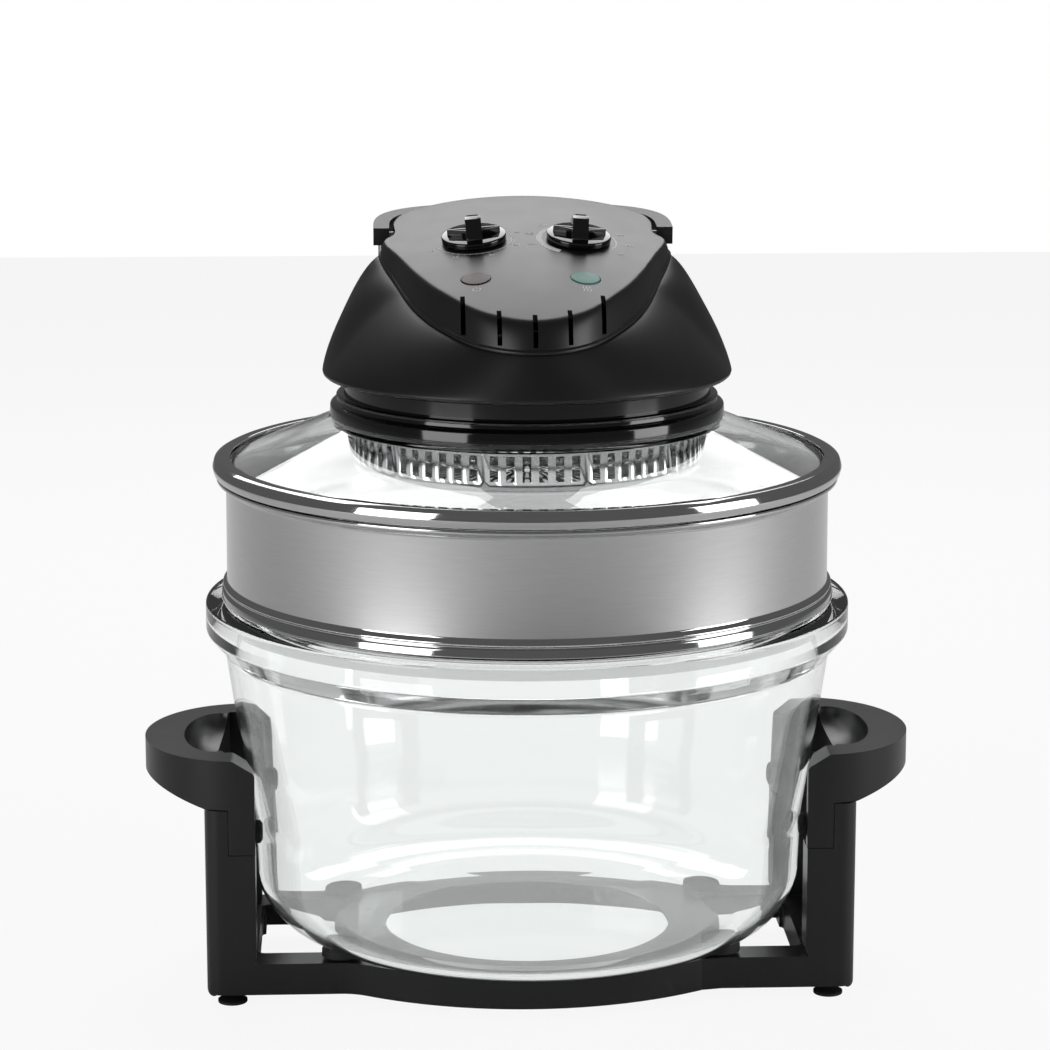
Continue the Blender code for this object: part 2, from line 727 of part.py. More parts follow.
def extender_ring(parts):
    """The rolled sheet ring: a skirt inside the bowl, a bead on its rim and a lip for the lid."""
    seat = BOWL_RIM_TOP + GAP
    sheet = EXTENDER_SHEET
    top = EXTENDER_TOP
    bead_top = seat + EXTENDER_BEAD_HEIGHT
    skirt = EXTENDER_SKIRT_RADIUS
    profile = [
        (skirt - sheet, seat - EXTENDER_SKIRT_DROP), (skirt, seat - EXTENDER_SKIRT_DROP), (skirt, seat),
        (EXTENDER_BEAD - sheet, seat), (EXTENDER_BEAD, seat + sheet),
        (EXTENDER_BEAD, seat + EXTENDER_BEAD_HEIGHT / 2), (EXTENDER_BEAD - sheet, bead_top - 2 * sheet),
        (EXTENDER_RADIUS + sheet, bead_top - sheet), (EXTENDER_RADIUS, bead_top + sheet),
        (EXTENDER_RADIUS, top - 4 * sheet), (EXTENDER_RADIUS + sheet, top - 2 * sheet),
        (EXTENDER_LIP, top - 2 * sheet), (EXTENDER_LIP, top), (EXTENDER_RADIUS - sheet, top),
        (EXTENDER_RADIUS - sheet, seat + sheet), (skirt - sheet, seat + sheet),
    ]
    obj = turned("extender_ring", profile, parts)
    own_material(obj, STEEL)
    return obj


def lid_levels():
    """Heights that the rim, the gasket and the glass share."""
    low = EXTENDER_TOP + GAP
    sheet = LID_RIM_SHEET
    gasket_low = low + sheet + GAP
    glass_low = gasket_low + sheet + GAP
    return low, gasket_low, glass_low, glass_low + LID_GLASS_WALL


def lid_rim(parts):
    low, _, _, glass_top = lid_levels()
    sheet = LID_RIM_SHEET
    top = max(low + LID_RIM_HEIGHT, glass_top + GAP + sheet)
    middle = (low + top) / 2
    bead = (LID_RIM_RADIUS - LID_GLASS_EDGE) / 2
    inner = LID_GLASS_EDGE + GAP
    profile = [
        (LID_RIM_LIP, low), (LID_RIM_RADIUS - bead, low), (LID_RIM_RADIUS - bead / 3, low + bead / 2),
        (LID_RIM_RADIUS, middle), (LID_RIM_RADIUS - bead / 3, top - bead / 2), (LID_RIM_RADIUS - bead, top),
        (LID_RIM_LIP, top), (LID_RIM_LIP, glass_top + GAP), (inner, glass_top + GAP),
        (inner, low + sheet), (LID_RIM_LIP, low + sheet),
    ]
    obj = turned("lid_rim", profile, parts)
    own_material(obj, STEEL)
    return obj


def lid_gasket(parts):
    _, low, glass_low, _ = lid_levels()
    gasket_inner = LID_GLASS_EDGE - GASKET_WIDTH
    profile = [(gasket_inner, low), (LID_GLASS_EDGE, low), (LID_GLASS_EDGE, glass_low - GAP),
               (gasket_inner, glass_low - GAP)]
    obj = turned("lid_gasket", profile, parts)
    own_material(obj, SILICONE)
    return obj


def lid_glass(parts):
    _, _, low, flange = lid_levels()
    wall = LID_GLASS_WALL
    slope = (LID_TOP - flange) / (LID_CONE_FOOT - LID_CONE_TOP)
    turn_in = wall * slope / 2
    profile = [
        (LID_GLASS_EDGE, low), (LID_GLASS_EDGE, flange), (LID_CONE_FOOT, flange),
        (LID_CONE_TOP, LID_TOP), (LID_HOLE, LID_TOP), (LID_HOLE, LID_TOP - wall),
        (LID_CONE_TOP - turn_in, LID_TOP - wall), (LID_CONE_FOOT - turn_in, low),
    ]
    obj = turned("lid_glass", profile, parts)
    own_material(obj, CLEAR_GLASS)
    return obj


# Head, lower parts


def boss_places():
    """The three bosses that carry the heat shield."""
    return [(BOSS_CIRCLE * math.cos(a), BOSS_CIRCLE * math.sin(a))
            for a in (math.radians(90 + 120 * i + 30) for i in range(3))]


def lower_housing(parts, tools):
    floor = LID_TOP + GAP
    inner = BAND_RADIUS - BAND_WALL
    obj = turned("lower_housing", [
        (0, floor), (BAND_RADIUS, floor), (BAND_RADIUS, BAND_TOP), (inner, BAND_TOP),
        (inner, floor + FLOOR_THICKNESS), (0, floor + FLOOR_THICKNESS)], parts)
    foot = floor - SHIELD_DROP + GAP
    root = floor + FLOOR_THICKNESS / 2
    for i, (x, y) in enumerate(boss_places()):
        boss = cylinder(f"boss_{i}", BOSS_RADIUS, (x, y, foot), (x, y, root), tools)
        join(obj, boss, tools)
    above = floor + FLOOR_THICKNESS + CUT_OVERRUN
    bore = cylinder("floor_bore", SHAFT_BORE, (0, 0, floor - CUT_OVERRUN), (0, 0, above), tools)
    cut(obj, bore, tools)
    own_material(obj, BLACK_GLOSS)
    return obj


def collar_ring(parts):
    low = LID_TOP + GAP
    inner = BAND_RADIUS + GAP
    groove = COLLAR_GROOVE
    profile = [
        (inner, low), (COLLAR_RADIUS, low), (COLLAR_RADIUS, low + COLLAR_HEIGHT - groove),
        (COLLAR_RADIUS - groove, low + COLLAR_HEIGHT), (COLLAR_STEP, low + COLLAR_HEIGHT),
        (COLLAR_TOP_RADIUS, low + COLLAR_TOTAL), (inner, low + COLLAR_TOTAL),
    ]
    obj = turned("collar_ring", profile, parts)
    own_material(obj, BLACK_GLOSS)
    return obj


# Heater


def guard_slots(tools):
    """All side slots of the guard, as one cutter."""
    mesh = bpy.data.meshes.new("guard_slots")
    work = bmesh.new()
    low = GUARD_BOTTOM + SLOT_FOOT
    for group in range(SLOT_GROUPS):
        for i in range(SLOTS_PER_GROUP):
            share = (i - (SLOTS_PER_GROUP - 1) / 2) * SLOT_PITCH_SHARE
            angle = math.tau * (group + share) / SLOT_GROUPS
            place = (Matrix.Rotation(angle, 4, "Z")
                     @ Matrix.Translation((0, -GUARD_RADIUS, low + SLOT_HEIGHT / 2))
                     @ Matrix.Diagonal((SLOT_WIDTH, 2 * CUT_OVERRUN, SLOT_HEIGHT, 1.0)))
            bmesh.ops.create_cube(work, size=1.0, matrix=place)
    work.to_mesh(mesh)
    work.free()
    return mesh_object("guard_slots", mesh, tools)


def guard_vents(tools):
    """A ring of round holes in the bottom of the guard, as one cutter."""
    mesh = bpy.data.meshes.new("guard_vents")
    work = bmesh.new()
    for i in range(VENT_COUNT):
        place = (Matrix.Rotation(math.tau * i / VENT_COUNT, 4, "Z")
                 @ Matrix.Translation((VENT_CIRCLE, 0, GUARD_BOTTOM)))
        bmesh.ops.create_cone(
            work, cap_ends=True, segments=HOLE_STEPS, radius1=VENT_RADIUS, radius2=VENT_RADIUS,
            depth=2 * CUT_OVERRUN, matrix=place)
    work.to_mesh(mesh)
    work.free()
    return mesh_object("guard_vents", mesh, tools)


def heater_guard(parts, tools):
    top = LID_TOP - LID_GLASS_WALL - GAP
    sheet = GUARD_SHEET
    corner = GUARD_CORNER
    centre = (GUARD_RADIUS - corner, GUARD_BOTTOM + corner)
    outer = [(0, GUARD_BOTTOM)] + arc(centre, corner, 270, 360, 2)
    outer += [(GUARD_RADIUS, top - sheet), (GUARD_FLANGE, top - sheet), (GUARD_FLANGE, top)]
    inner = [(GUARD_RADIUS - sheet, top)] + arc(centre, corner - sheet, 360, 270, 2)
    inner.append((0, GUARD_BOTTOM + sheet))
    obj = turned("heater_guard", outer + inner, parts)
    cut(obj, guard_slots(tools), tools)
    cut(obj, guard_vents(tools), tools)
    own_material(obj, STEEL)
    return obj


def shield_top():
    return LID_TOP + GAP - SHIELD_DROP


def heat_shield(parts):
    top = shield_top()
    low = top - SHIELD_SHEET
    obj = turned("heat_shield", [(SHAFT_BORE, low), (SHIELD_RADIUS, low), (SHIELD_RADIUS, top),
                                 (SHAFT_BORE, top)], parts)
    own_material(obj, ALUMINIUM)
    return obj


def halogen_tube(parts):
    """A quartz ring lamp, open at the back where its holders are."""
    half_gap = HOLDER_SPLIT / 2 + HOLDER_SIZE[0] + TUBE_RADIUS / 2
    gap_angle = math.degrees(math.asin(half_gap / TUBE_CIRCLE))
    curve = bpy.data.curves.new("halogen_tube", "CURVE")
    curve.dimensions = "3D"
    curve.bevel_depth = TUBE_RADIUS
    curve.bevel_resolution = 1
    curve.use_fill_caps = True
    points = arc((0, 0), TUBE_CIRCLE, 90 + gap_angle, 450 - gap_angle, TUBE_STEPS)
    spline = curve.splines.new("POLY")
    spline.points.add(len(points) - 1)
    height = shield_top() - TUBE_DROP + TUBE_RADIUS
    for point, (x, y) in zip(spline.points, points):
        point.co = (x, y, height, 1)
    obj = bpy.data.objects.new("halogen_tube", curve)
    parts.objects.link(obj)
    bpy.context.view_layer.update()
    obj = bake(obj)
    own_material(obj, QUARTZ)
    return obj


def lamp_holder(name, side, parts):
    width, depth, height = HOLDER_SIZE
    top = shield_top() - SHIELD_SHEET - GAP
    centre = (side * (HOLDER_SPLIT + width) / 2, TUBE_CIRCLE - depth / 8, top - height / 2)
    obj = box(name, HOLDER_SIZE, centre, parts)
    own_material(obj, CERAMIC)
    return obj


# Fans, shaft and motor


def fan_blade(name, length, height, sheet, middle, angle, centre_z, tools):
    obj = box(name, (length, sheet, height), (0, 0, 0), tools)
    obj.data.transform(Matrix.Rotation(angle, 4, "Z") @ Matrix.Translation((middle, 0, centre_z))
                       @ Matrix.Rotation(BLADE_TURN, 4, "Z"))
    return obj


def hot_air_fan(parts, tools):
    low = FAN_TOP - FAN_DISC
    bore = SHAFT_RADIUS + GAP
    hub_low = low - FAN_BLADE_HEIGHT
    obj = turned("hot_air_fan", [
        (bore, hub_low), (FAN_HUB, hub_low), (FAN_HUB, low), (FAN_RADIUS, low), (FAN_RADIUS, FAN_TOP),
        (bore, FAN_TOP)], parts, FAN_STEPS)
    middle = FAN_RADIUS - FAN_BLADE_LENGTH / 2 - FAN_BLADE_SHEET
    for i in range(FAN_BLADES):
        blade = fan_blade(f"hot_blade_{i}", FAN_BLADE_LENGTH, FAN_BLADE_HEIGHT, FAN_BLADE_SHEET, middle,
                          math.tau * i / FAN_BLADES, low - FAN_BLADE_HEIGHT / 2 + FAN_DISC / 2, tools)
        join(obj, blade, tools)
    own_material(obj, ALUMINIUM)
    return obj


def cooling_fan(parts, tools):
    bore = SHAFT_RADIUS + GAP
    hub_top = COOLER_FOOT + COOLER_HEIGHT
    base = COOLER_FOOT + FAN_DISC
    obj = turned("cooling_fan", [
        (bore, COOLER_FOOT), (COOLER_RADIUS, COOLER_FOOT), (COOLER_RADIUS, base), (FAN_HUB, base),
        (FAN_HUB, hub_top), (bore, hub_top)], parts, FAN_STEPS)
    length = COOLER_RADIUS - FAN_HUB - 2 * FAN_BLADE_SHEET
    for i in range(FAN_BLADES):
        blade = fan_blade(f"cool_blade_{i}", length, COOLER_HEIGHT - FAN_DISC, FAN_BLADE_SHEET,
                          COOLER_RADIUS - length / 2 - FAN_BLADE_SHEET, math.tau * i / FAN_BLADES,
                          base + (COOLER_HEIGHT - FAN_DISC) / 2 - FAN_DISC / 2, tools)
        join(obj, blade, tools)
    own_material(obj, GREY_PLASTIC)
    return obj


def motor_shaft(parts):
    obj = cylinder("motor_shaft", SHAFT_RADIUS, (0, 0, SHAFT_FOOT), (0, 0, SHAFT_TOP), parts)
    own_material(obj, DULL_STEEL)
    return obj


def fan_nut(parts):
    """A cap nut on the foot of the shaft."""
    top = FAN_TOP - FAN_DISC - FAN_BLADE_HEIGHT - GAP
    bore = SHAFT_RADIUS + GAP
    low = top - NUT_HEIGHT
    obj = turned("fan_nut", [
        (0, low), (NUT_RADIUS / 2, low), (NUT_RADIUS, low + NUT_HEIGHT / 3), (NUT_RADIUS, top), (bore, top),
        (bore, SHAFT_FOOT - GAP), (0, SHAFT_FOOT - GAP)], parts, SMALL_STEPS)
    own_material(obj, DULL_STEEL)
    return obj


def fan_motor(parts):
    bore = SHAFT_RADIUS + GAP
    top = MOTOR_FOOT + MOTOR_HEIGHT
    shoulder = MOTOR_HEIGHT / 5
    nose = MOTOR_RADIUS / 3
    obj = turned("fan_motor", [
        (bore, MOTOR_FOOT), (MOTOR_RADIUS, MOTOR_FOOT), (MOTOR_RADIUS, top - shoulder),
        (MOTOR_RADIUS - shoulder, top - shoulder / 2), (nose, top - shoulder / 2), (nose, top),
        (bore, top)], parts, FAN_STEPS)
    own_material(obj, DULL_STEEL)
    return obj


def motor_bracket(parts, tools):
    """A bent strap that stands on the floor and carries the motor."""
    floor = LID_TOP + GAP + FLOOR_THICKNESS + GAP
    top = MOTOR_FOOT - GAP
    sheet = BRACKET_SHEET
    span = BRACKET_HALF_SPAN
    foot = span + BRACKET_WIDTH / 3
    inside = span - sheet
    right = [(inside, top - sheet), (inside, floor), (foot, floor), (foot, floor + sheet),
             (span, floor + sheet), (span, top)]
    outline = right + [(-x, z) for x, z in reversed(right)]
    obj = side_plate("motor_bracket", outline, -BRACKET_WIDTH / 2, BRACKET_WIDTH / 2, parts)
    below = top - sheet - CUT_OVERRUN
    bore = cylinder("bracket_bore", SHAFT_BORE, (0, 0, below), (0, 0, top + CUT_OVERRUN), tools)
    cut(obj, bore, tools)
    own_material(obj, DULL_STEEL)
    return obj


# Head, upper parts


def pod_loop(shares):
    """A closed outline of the pod from the shares of its right half."""
    right = [(x * POD_HALF_WIDTH, y * POD_LENGTH) for x, y in shares]
    left = [(-x, y) for x, y in reversed(right[1:-1])]
    return spline_loop(right + left, OUTLINE_STEPS)


def lip_height(y):
    """Height of the seam between pod and dome: low at the nose, level at the back."""
    t = min(max((y + POD_LENGTH) / (POD_LENGTH + BAIL_PIVOT_Y - BAIL_THICKNESS), 0.0), 1.0)
    return POD_NOSE_Z + (POD_SIDE_Z - POD_NOSE_Z) * t ** POD_RISE_SHARE


def top_height(x, y):
    """Height of the crowned panel that carries the dials."""
    middle = (POD_FRONT_Y + POD_BACK_Y) / 2
    half = (POD_BACK_Y - POD_FRONT_Y) / 2
    slope = (POD_BACK_TOP - POD_FRONT_TOP) / (2 * half)
    crown = POD_CROWN * (1 - ((y - middle) / half) ** 2)
    return POD_FRONT_TOP + slope * (y - POD_FRONT_Y) + crown - POD_SIDE_DROP * (x / POD_HALF_WIDTH) ** 2


def panel_frame(x, y):
    """Place on the panel, with Z along its outward normal."""
    step = KNOB_GAP
    dx = (top_height(x + step, y) - top_height(x - step, y)) / (2 * step)
    dy = (top_height(x, y + step) - top_height(x, y - step)) / (2 * step)
    normal = Vector((-dx, -dy, 1)).normalized()
    across = Vector((0, 1, 0)).cross(normal).normalized()
    turn = Matrix((across, normal.cross(across), normal)).transposed().to_4x4()
    return Matrix.Translation((x, y, top_height(x, y))) @ turn


def loft(name, rings, tips, group):
    """Skin rings of equal length. Two tips close the ends; with none the last ring meets the first."""
    mesh = bpy.data.meshes.new(name)
    work = bmesh.new()
    made = [[work.verts.new(p) for p in ring] for ring in rings]
    count = len(rings[0])
    following = made[1:] if tips else made[1:] + made[:1]
    for lower, upper in zip(made, following):
        for i in range(count):
            k = (i + 1) % count
            work.faces.new((lower[i], lower[k], upper[k], upper[i]))
    for ring, tip in zip((made[0], made[-1]), tips):
        middle = work.verts.new(tip)
        for i in range(count):
            work.faces.new((ring[i], ring[(i + 1) % count], middle))
    bmesh.ops.triangulate(work, faces=work.faces)
    bmesh.ops.recalc_face_normals(work, faces=work.faces)
    work.to_mesh(mesh)
    work.free()
    obj = mesh_object(name, mesh, group)
    smooth(obj)
    return obj


def between(a, b, share):
    return [(p[0] + (q[0] - p[0]) * share, p[1] + (q[1] - p[1]) * share) for p, q in zip(a, b)]


def scaled(loop, inset):
    """An outline drawn in towards the middle; inset is a length at the pod's half width."""
    share = 1 - inset / POD_HALF_WIDTH
    return [(x * share, y * share) for x, y in loop]


def pod_rings():
    """Outer rings of the pod: a thin lip, the drafted apron, the rolled edge, then the crown."""
    lip = pod_loop(LIP_SHARES)
    edge = pod_loop(TOP_EDGE_SHARES)
    apron = scaled(lip, POD_LIP_STEP)
    rings = [[(x, y, lip_height(y)) for x, y in lip], [(x, y, lip_height(y) + POD_LIP) for x, y in lip],
             [(x, y, lip_height(y) + POD_LIP + POD_LIP_STEP) for x, y in apron]]
    for across_share, drop_share in ROLL_SHARES:
        ring = []
        for (x, y), (ex, ey) in zip(between(apron, edge, across_share), edge):
            floor = lip_height(y) + POD_LIP + POD_LIP_STEP
            top = top_height(ex, ey)
            least = floor + (top - floor) * across_share / 2
            ring.append((x, y, max(top - POD_EDGE_DROP * drop_share, least)))
        rings.append(ring)
    for crown_share in CROWN_SHARES:
        loop = [(x * crown_share, y * crown_share) for x, y in edge]
        rings.append([(x, y, top_height(x, y)) for x, y in loop])
    return rings


def pod_inner_rings():
    """Rings of the space inside the pod, from its mouth to its roof."""
    lip = scaled(pod_loop(LIP_SHARES), POD_WALL + POD_LIP_STEP)
    edge = scaled(pod_loop(TOP_EDGE_SHARES), POD_WALL)
    rings = [[(x, y, lip_height(y)) for x, y in lip],
             [(x, y, lip_height(y) + POD_LIP) for x, y in lip],
             [(x, y, top_height(x, y) - POD_WALL - POD_EDGE_DROP / 2) for x, y in edge]]
    for crown_share in HOLLOW_SHARES:
        loop = [(x * crown_share, y * crown_share) for x, y in edge]
        rings.append([(x, y, top_height(x, y) - POD_WALL) for x, y in loop])
    return rings


def apron_slot(i, tools):
    """A vertical slot through the front of the pod, as deep as the rolled edge there."""
    x = (i - (SLOT_COUNT - 1) / 2) * APRON_SLOT_PITCH
    loop = [p for p in pod_loop(LIP_SHARES) if p[1] < 0]
    edge = [p for p in pod_loop(TOP_EDGE_SHARES) if p[1] < 0]
    outer = min(loop, key=lambda p: abs(p[0] - x))
    rolled = min(edge, key=lambda p: abs(p[0] - x))
    low = lip_height(outer[1]) + APRON_SLOT_FOOT
    high = top_height(x, rolled[1]) + CUT_OVERRUN
    front = outer[1] - CUT_OVERRUN
    back = rolled[1] + APRON_SLOT_TOP_REACH
    return box(f"apron_slot_{i}", (APRON_SLOT_WIDTH, back - front, high - low),
               (x, (front + back) / 2, (low + high) / 2), tools)


def control_pod(parts, tools):
    rings = list(reversed(pod_rings())) + pod_inner_rings()
    roof = top_height(0, 0)
    obj = loft("control_pod", rings, ((0, 0, roof), (0, 0, roof - POD_WALL)), parts)
    for i in range(SLOT_COUNT):
        cut(obj, apron_slot(i, tools), tools)
    under = (0, 0, -2 * CUT_OVERRUN)
    over = (0, 0, CUT_OVERRUN)
    deep = BAIL_OUTER_X - PIN_LENGTH - CUT_OVERRUN
    for side in (-1, 1):
        hole = cylinder(f"stem_hole_{side}", STEM_RADIUS + GAP, under, over, tools)
        hole.data.transform(panel_frame(side * DIAL_X, DIAL_Y))
        cut(obj, hole, tools)
        window = cylinder(f"lamp_hole_{side}", LAMP_RADIUS + GAP, under, over, tools, FAN_STEPS)
        window.data.transform(panel_frame(side * LAMP_X, LAMP_Y))
        cut(obj, window, tools)
        start = (side * deep, BAIL_PIVOT_Y, BAIL_PIVOT_Z)
        end = (side * BAIL_OUTER_X, BAIL_PIVOT_Y, BAIL_PIVOT_Z)
        cut(obj, cylinder(f"pin_bore_{side}", PIN_BORE, start, end, tools), tools)
    own_material(obj, BLACK_MATT)
    return obj


def dome_power(x, y):
    """How far the dome bulges: nearly straight in front, round at the sides and the back."""
    angle = math.degrees(math.atan2(abs(x), -y))
    t = min(max((angle - DOME_BLEND_START) / DOME_BLEND_SPAN, 0.0), 1.0)
    blend = t * t * (3 - 2 * t)
    return DOME_FRONT_POWER_SHARE + (DOME_SIDE_POWER_SHARE - DOME_FRONT_POWER_SHARE) * blend


def dome_skin(foot, foot_z, seam, drop, steps):
    """Rings that rise from a round foot to the pod's seam."""
    rings = []
    for step in range(steps):
        angle = math.pi / 2 * step / (steps - 1)
        ring = []
        for x, y in seam:
            power = 2 / dome_power(x, y)
            out = math.cos(angle) ** power
            up = math.sin(angle) ** power
            start = Vector((x, y)).normalized() * foot
            top = lip_height(y) - GAP - drop
            ring.append((x + (start.x - x) * out, y + (start.y - y) * out, foot_z + (top - foot_z) * up))
        rings.append(ring)
    return rings


def ring_at(seam, radius, z):
    """A round ring whose points lie in the directions of the seam's points."""
    return [(*(Vector(p).normalized() * radius), z) for p in seam]


def rear_slots(tools):
    """The row of vents at the back of the dome, as one cutter."""
    mesh = bpy.data.meshes.new("rear_slots")
    work = bmesh.new()
    for i in range(REAR_SLOTS):
        x = (i - (REAR_SLOTS - 1) / 2) * REAR_SLOT_PITCH
        place = (Matrix.Translation((x, DOME_RADIUS, (REAR_SLOT_LOW + REAR_SLOT_HIGH) / 2))
                 @ Matrix.Diagonal((REAR_SLOT_WIDTH, DOME_RADIUS / 2, REAR_SLOT_HIGH - REAR_SLOT_LOW, 1.0)))
        bmesh.ops.create_cube(work, size=1.0, matrix=place)
    work.to_mesh(mesh)
    work.free()
    return mesh_object("rear_slots", mesh, tools)


def dome_housing(parts, tools):
    """The dome as one closed skin: outside from its floor to the seam, then back down inside."""
    low = DOME_SHELF_HEIGHT
    hole = BAND_RADIUS + 2 * FACE_GAP
    seam = scaled(pod_loop(LIP_SHARES), POD_LIP_STEP)
    inner = scaled(pod_loop(LIP_SHARES), POD_LIP_STEP + DOME_WALL)
    rings = [ring_at(seam, hole, low), ring_at(seam, DOME_RADIUS - 2 * DOME_ROUND, low),
             ring_at(seam, DOME_RADIUS - DOME_ROUND / 2, low)]
    rings += dome_skin(DOME_RADIUS, DOME_FOOT, seam, 0, DOME_STEPS)
    rings.append([(x, y, lip_height(y) - GAP) for x, y in inner])
    rings += reversed(dome_skin(DOME_RADIUS - DOME_WALL, low + DOME_WALL, inner, DOME_WALL, DOME_STEPS - 1))
    rings.append(ring_at(seam, hole, low + DOME_WALL))
    obj = loft("dome_housing", rings, (), parts)
    cut(obj, rear_slots(tools), tools)
    start = (0, DOME_RADIUS - GLAND_LENGTH, GLAND_HEIGHT)
    end = (0, DOME_RADIUS + GLAND_LENGTH, GLAND_HEIGHT)
    inlet = cylinder("inlet_hole", GLAND_NECK + GAP, start, end, tools)
    cut(obj, inlet, tools)
    start = (PLUNGER_X, PLUNGER_Y, DOME_FOOT + 2 * CUT_OVERRUN)
    rod = cylinder("plunger_hole", PLUNGER_BORE, start, (PLUNGER_X, PLUNGER_Y, POD_SIDE_Z), tools)
    cut(obj, rod, tools)
    own_material(obj, BLACK_MATT)
    return obj


def cord_gland(parts):
    """The inlet bush at the back of the dome."""
    inside = DOME_RADIUS - 2 * DOME_WALL
    seat = DOME_RADIUS + GAP
    end = seat + GLAND_LENGTH
    bore = GLAND_NECK / 2
    obj = turned("cord_gland", [
        (bore, inside), (GLAND_NECK, inside), (GLAND_NECK, seat), (GLAND_RADIUS, seat),
        (GLAND_RADIUS, seat + DOME_WALL), (GLAND_NECK, seat + 2 * DOME_WALL), (GLAND_NECK * 3 / 4, end),
        (bore, end)], parts, SMALL_STEPS)
    obj.data.transform(Matrix.Translation((0, 0, GLAND_HEIGHT)) @ Matrix.Rotation(-math.pi / 2, 4, "X"))
    own_material(obj, RUBBER)
    return obj


# Dials, lamps and the units behind them


def knob(name, side, parts, tools):
    """A disc with a grip bar from back to front and two low wings across it."""
    frame = panel_frame(side * DIAL_X, DIAL_Y)
    low = KNOB_GAP
    skirt = low + KNOB_SKIRT
    obj = turned(name, [
        (0, low), (KNOB_RADIUS, low), (KNOB_RADIUS, skirt - KNOB_GAP), (KNOB_RADIUS - KNOB_GAP, skirt),
        (0, skirt)], parts, FAN_STEPS)
    side_reach = KNOB_WING_WIDTH / 2
    bar = side_plate(name + "_bar", grip_bar_profile(skirt), -side_reach, side_reach, tools)
    bar.data.transform(Matrix.Rotation(math.pi / 2, 4, "Z"))
    join(obj, bar, tools)
    half = KNOB_WING_LENGTH / 2
    outline = [(-half, 0), (0, -(KNOB_CROSS_WIDTH + KNOB_SKIRT) / 2), (half, 0), (0, KNOB_CROSS_WIDTH / 2)]
    cross = plate(name + "_cross", [outline], skirt - KNOB_GAP, skirt + KNOB_CROSS_HEIGHT, tools)
    join(obj, cross, tools)
    stem = cylinder(name + "_stem", STEM_RADIUS, (0, 0, -2 * POD_WALL), (0, 0, skirt - KNOB_GAP), tools)
    join(obj, stem, tools)
    obj = bake(obj)
    obj.data.transform(frame)
    own_material(obj, BLACK_GLOSS)
    return set_origin(obj, frame.translation)


def grip_bar_profile(low):
    """Side outline of the grip bar, in (back to front, height): high at the front, low at the back."""
    half = KNOB_WING_LENGTH / 2
    top = low + KNOB_WING_HEIGHT
    return [(-half, low - KNOB_GAP), (half, low - KNOB_GAP), (half, low + KNOB_CROSS_HEIGHT),
            (-half / 6, top), (-half / 3, top), (-half, low + KNOB_CROSS_HEIGHT)]


def pointer(name, side, parts):
    """The pale insert that lies on the sloping back of the grip bar."""
    frame = panel_frame(side * DIAL_X, DIAL_Y)
    half = KNOB_WING_LENGTH / 2
    low = KNOB_GAP + KNOB_SKIRT + KNOB_CROSS_HEIGHT
    rise = KNOB_WING_HEIGHT - KNOB_CROSS_HEIGHT
    run = half + half / 6
    slope = math.atan2(rise, run)
    obj = box(name, (POINTER_WIDTH, POINTER_LENGTH, POINTER_SHEET), (0, 0, 0), parts)
    middle = Matrix.Translation((0, half - run / 2, low + rise / 2))
    tilt = Matrix.Rotation(-slope, 4, "X")
    lift = Matrix.Translation((0, 0, POINTER_SHEET / 2 + GAP))
    obj.data.transform(frame @ middle @ tilt @ lift)
    own_material(obj, GREY_PLASTIC)
    return obj


def set_origin(obj, point):
    """Put an object's origin on its joint axis without moving the mesh in the world."""
    obj.data.transform(Matrix.Translation(-Vector(point)))
    obj.location = point
    return obj


def dial_unit(name, side, parts, tools):
    """The timer or thermostat body that hangs under the panel."""
    frame = panel_frame(side * DIAL_X, DIAL_Y)
    top = -POD_WALL - UNIT_DROP
    obj = box(name, UNIT_SIZE, (0, 0, top - UNIT_SIZE[2] / 2), parts)
    start = (0, 0, top - 2 * POD_WALL)
    bore = cylinder(name + "_bore", STEM_RADIUS + GAP, start, (0, 0, top + CUT_OVERRUN), tools)
    cut(obj, bore, tools)
    obj = bake(obj)
    obj.data.transform(frame)
    own_material(obj, DULL_STEEL)
    return obj


def lamp_lens(name, side, finish, parts):
    frame = panel_frame(side * LAMP_X, LAMP_Y)
    face = LAMP_RADIUS - LAMP_PROUD
    obj = turned(name, [
        (0, -LAMP_DEPTH), (face, -LAMP_DEPTH), (LAMP_RADIUS, -POD_WALL), (LAMP_RADIUS, LAMP_PROUD / 2),
        (face, LAMP_PROUD), (0, LAMP_PROUD)], parts, FAN_STEPS)
    obj.data.transform(frame)
    own_material(obj, finish)
    return obj


# Bail and safety switch


def bail_outline(half_width, reach, count):
    """One side of the bail, from the right arm round the back to the left arm."""
    points = []
    for i in range(count + 1):
        angle = math.pi * i / count
        x = math.copysign(abs(math.cos(angle)) ** (2 / BAIL_POWER_SHARE), math.cos(angle))
        y = math.sin(angle) ** (2 / BAIL_POWER_SHARE)
        points.append((half_width * x, reach * y))
    return points


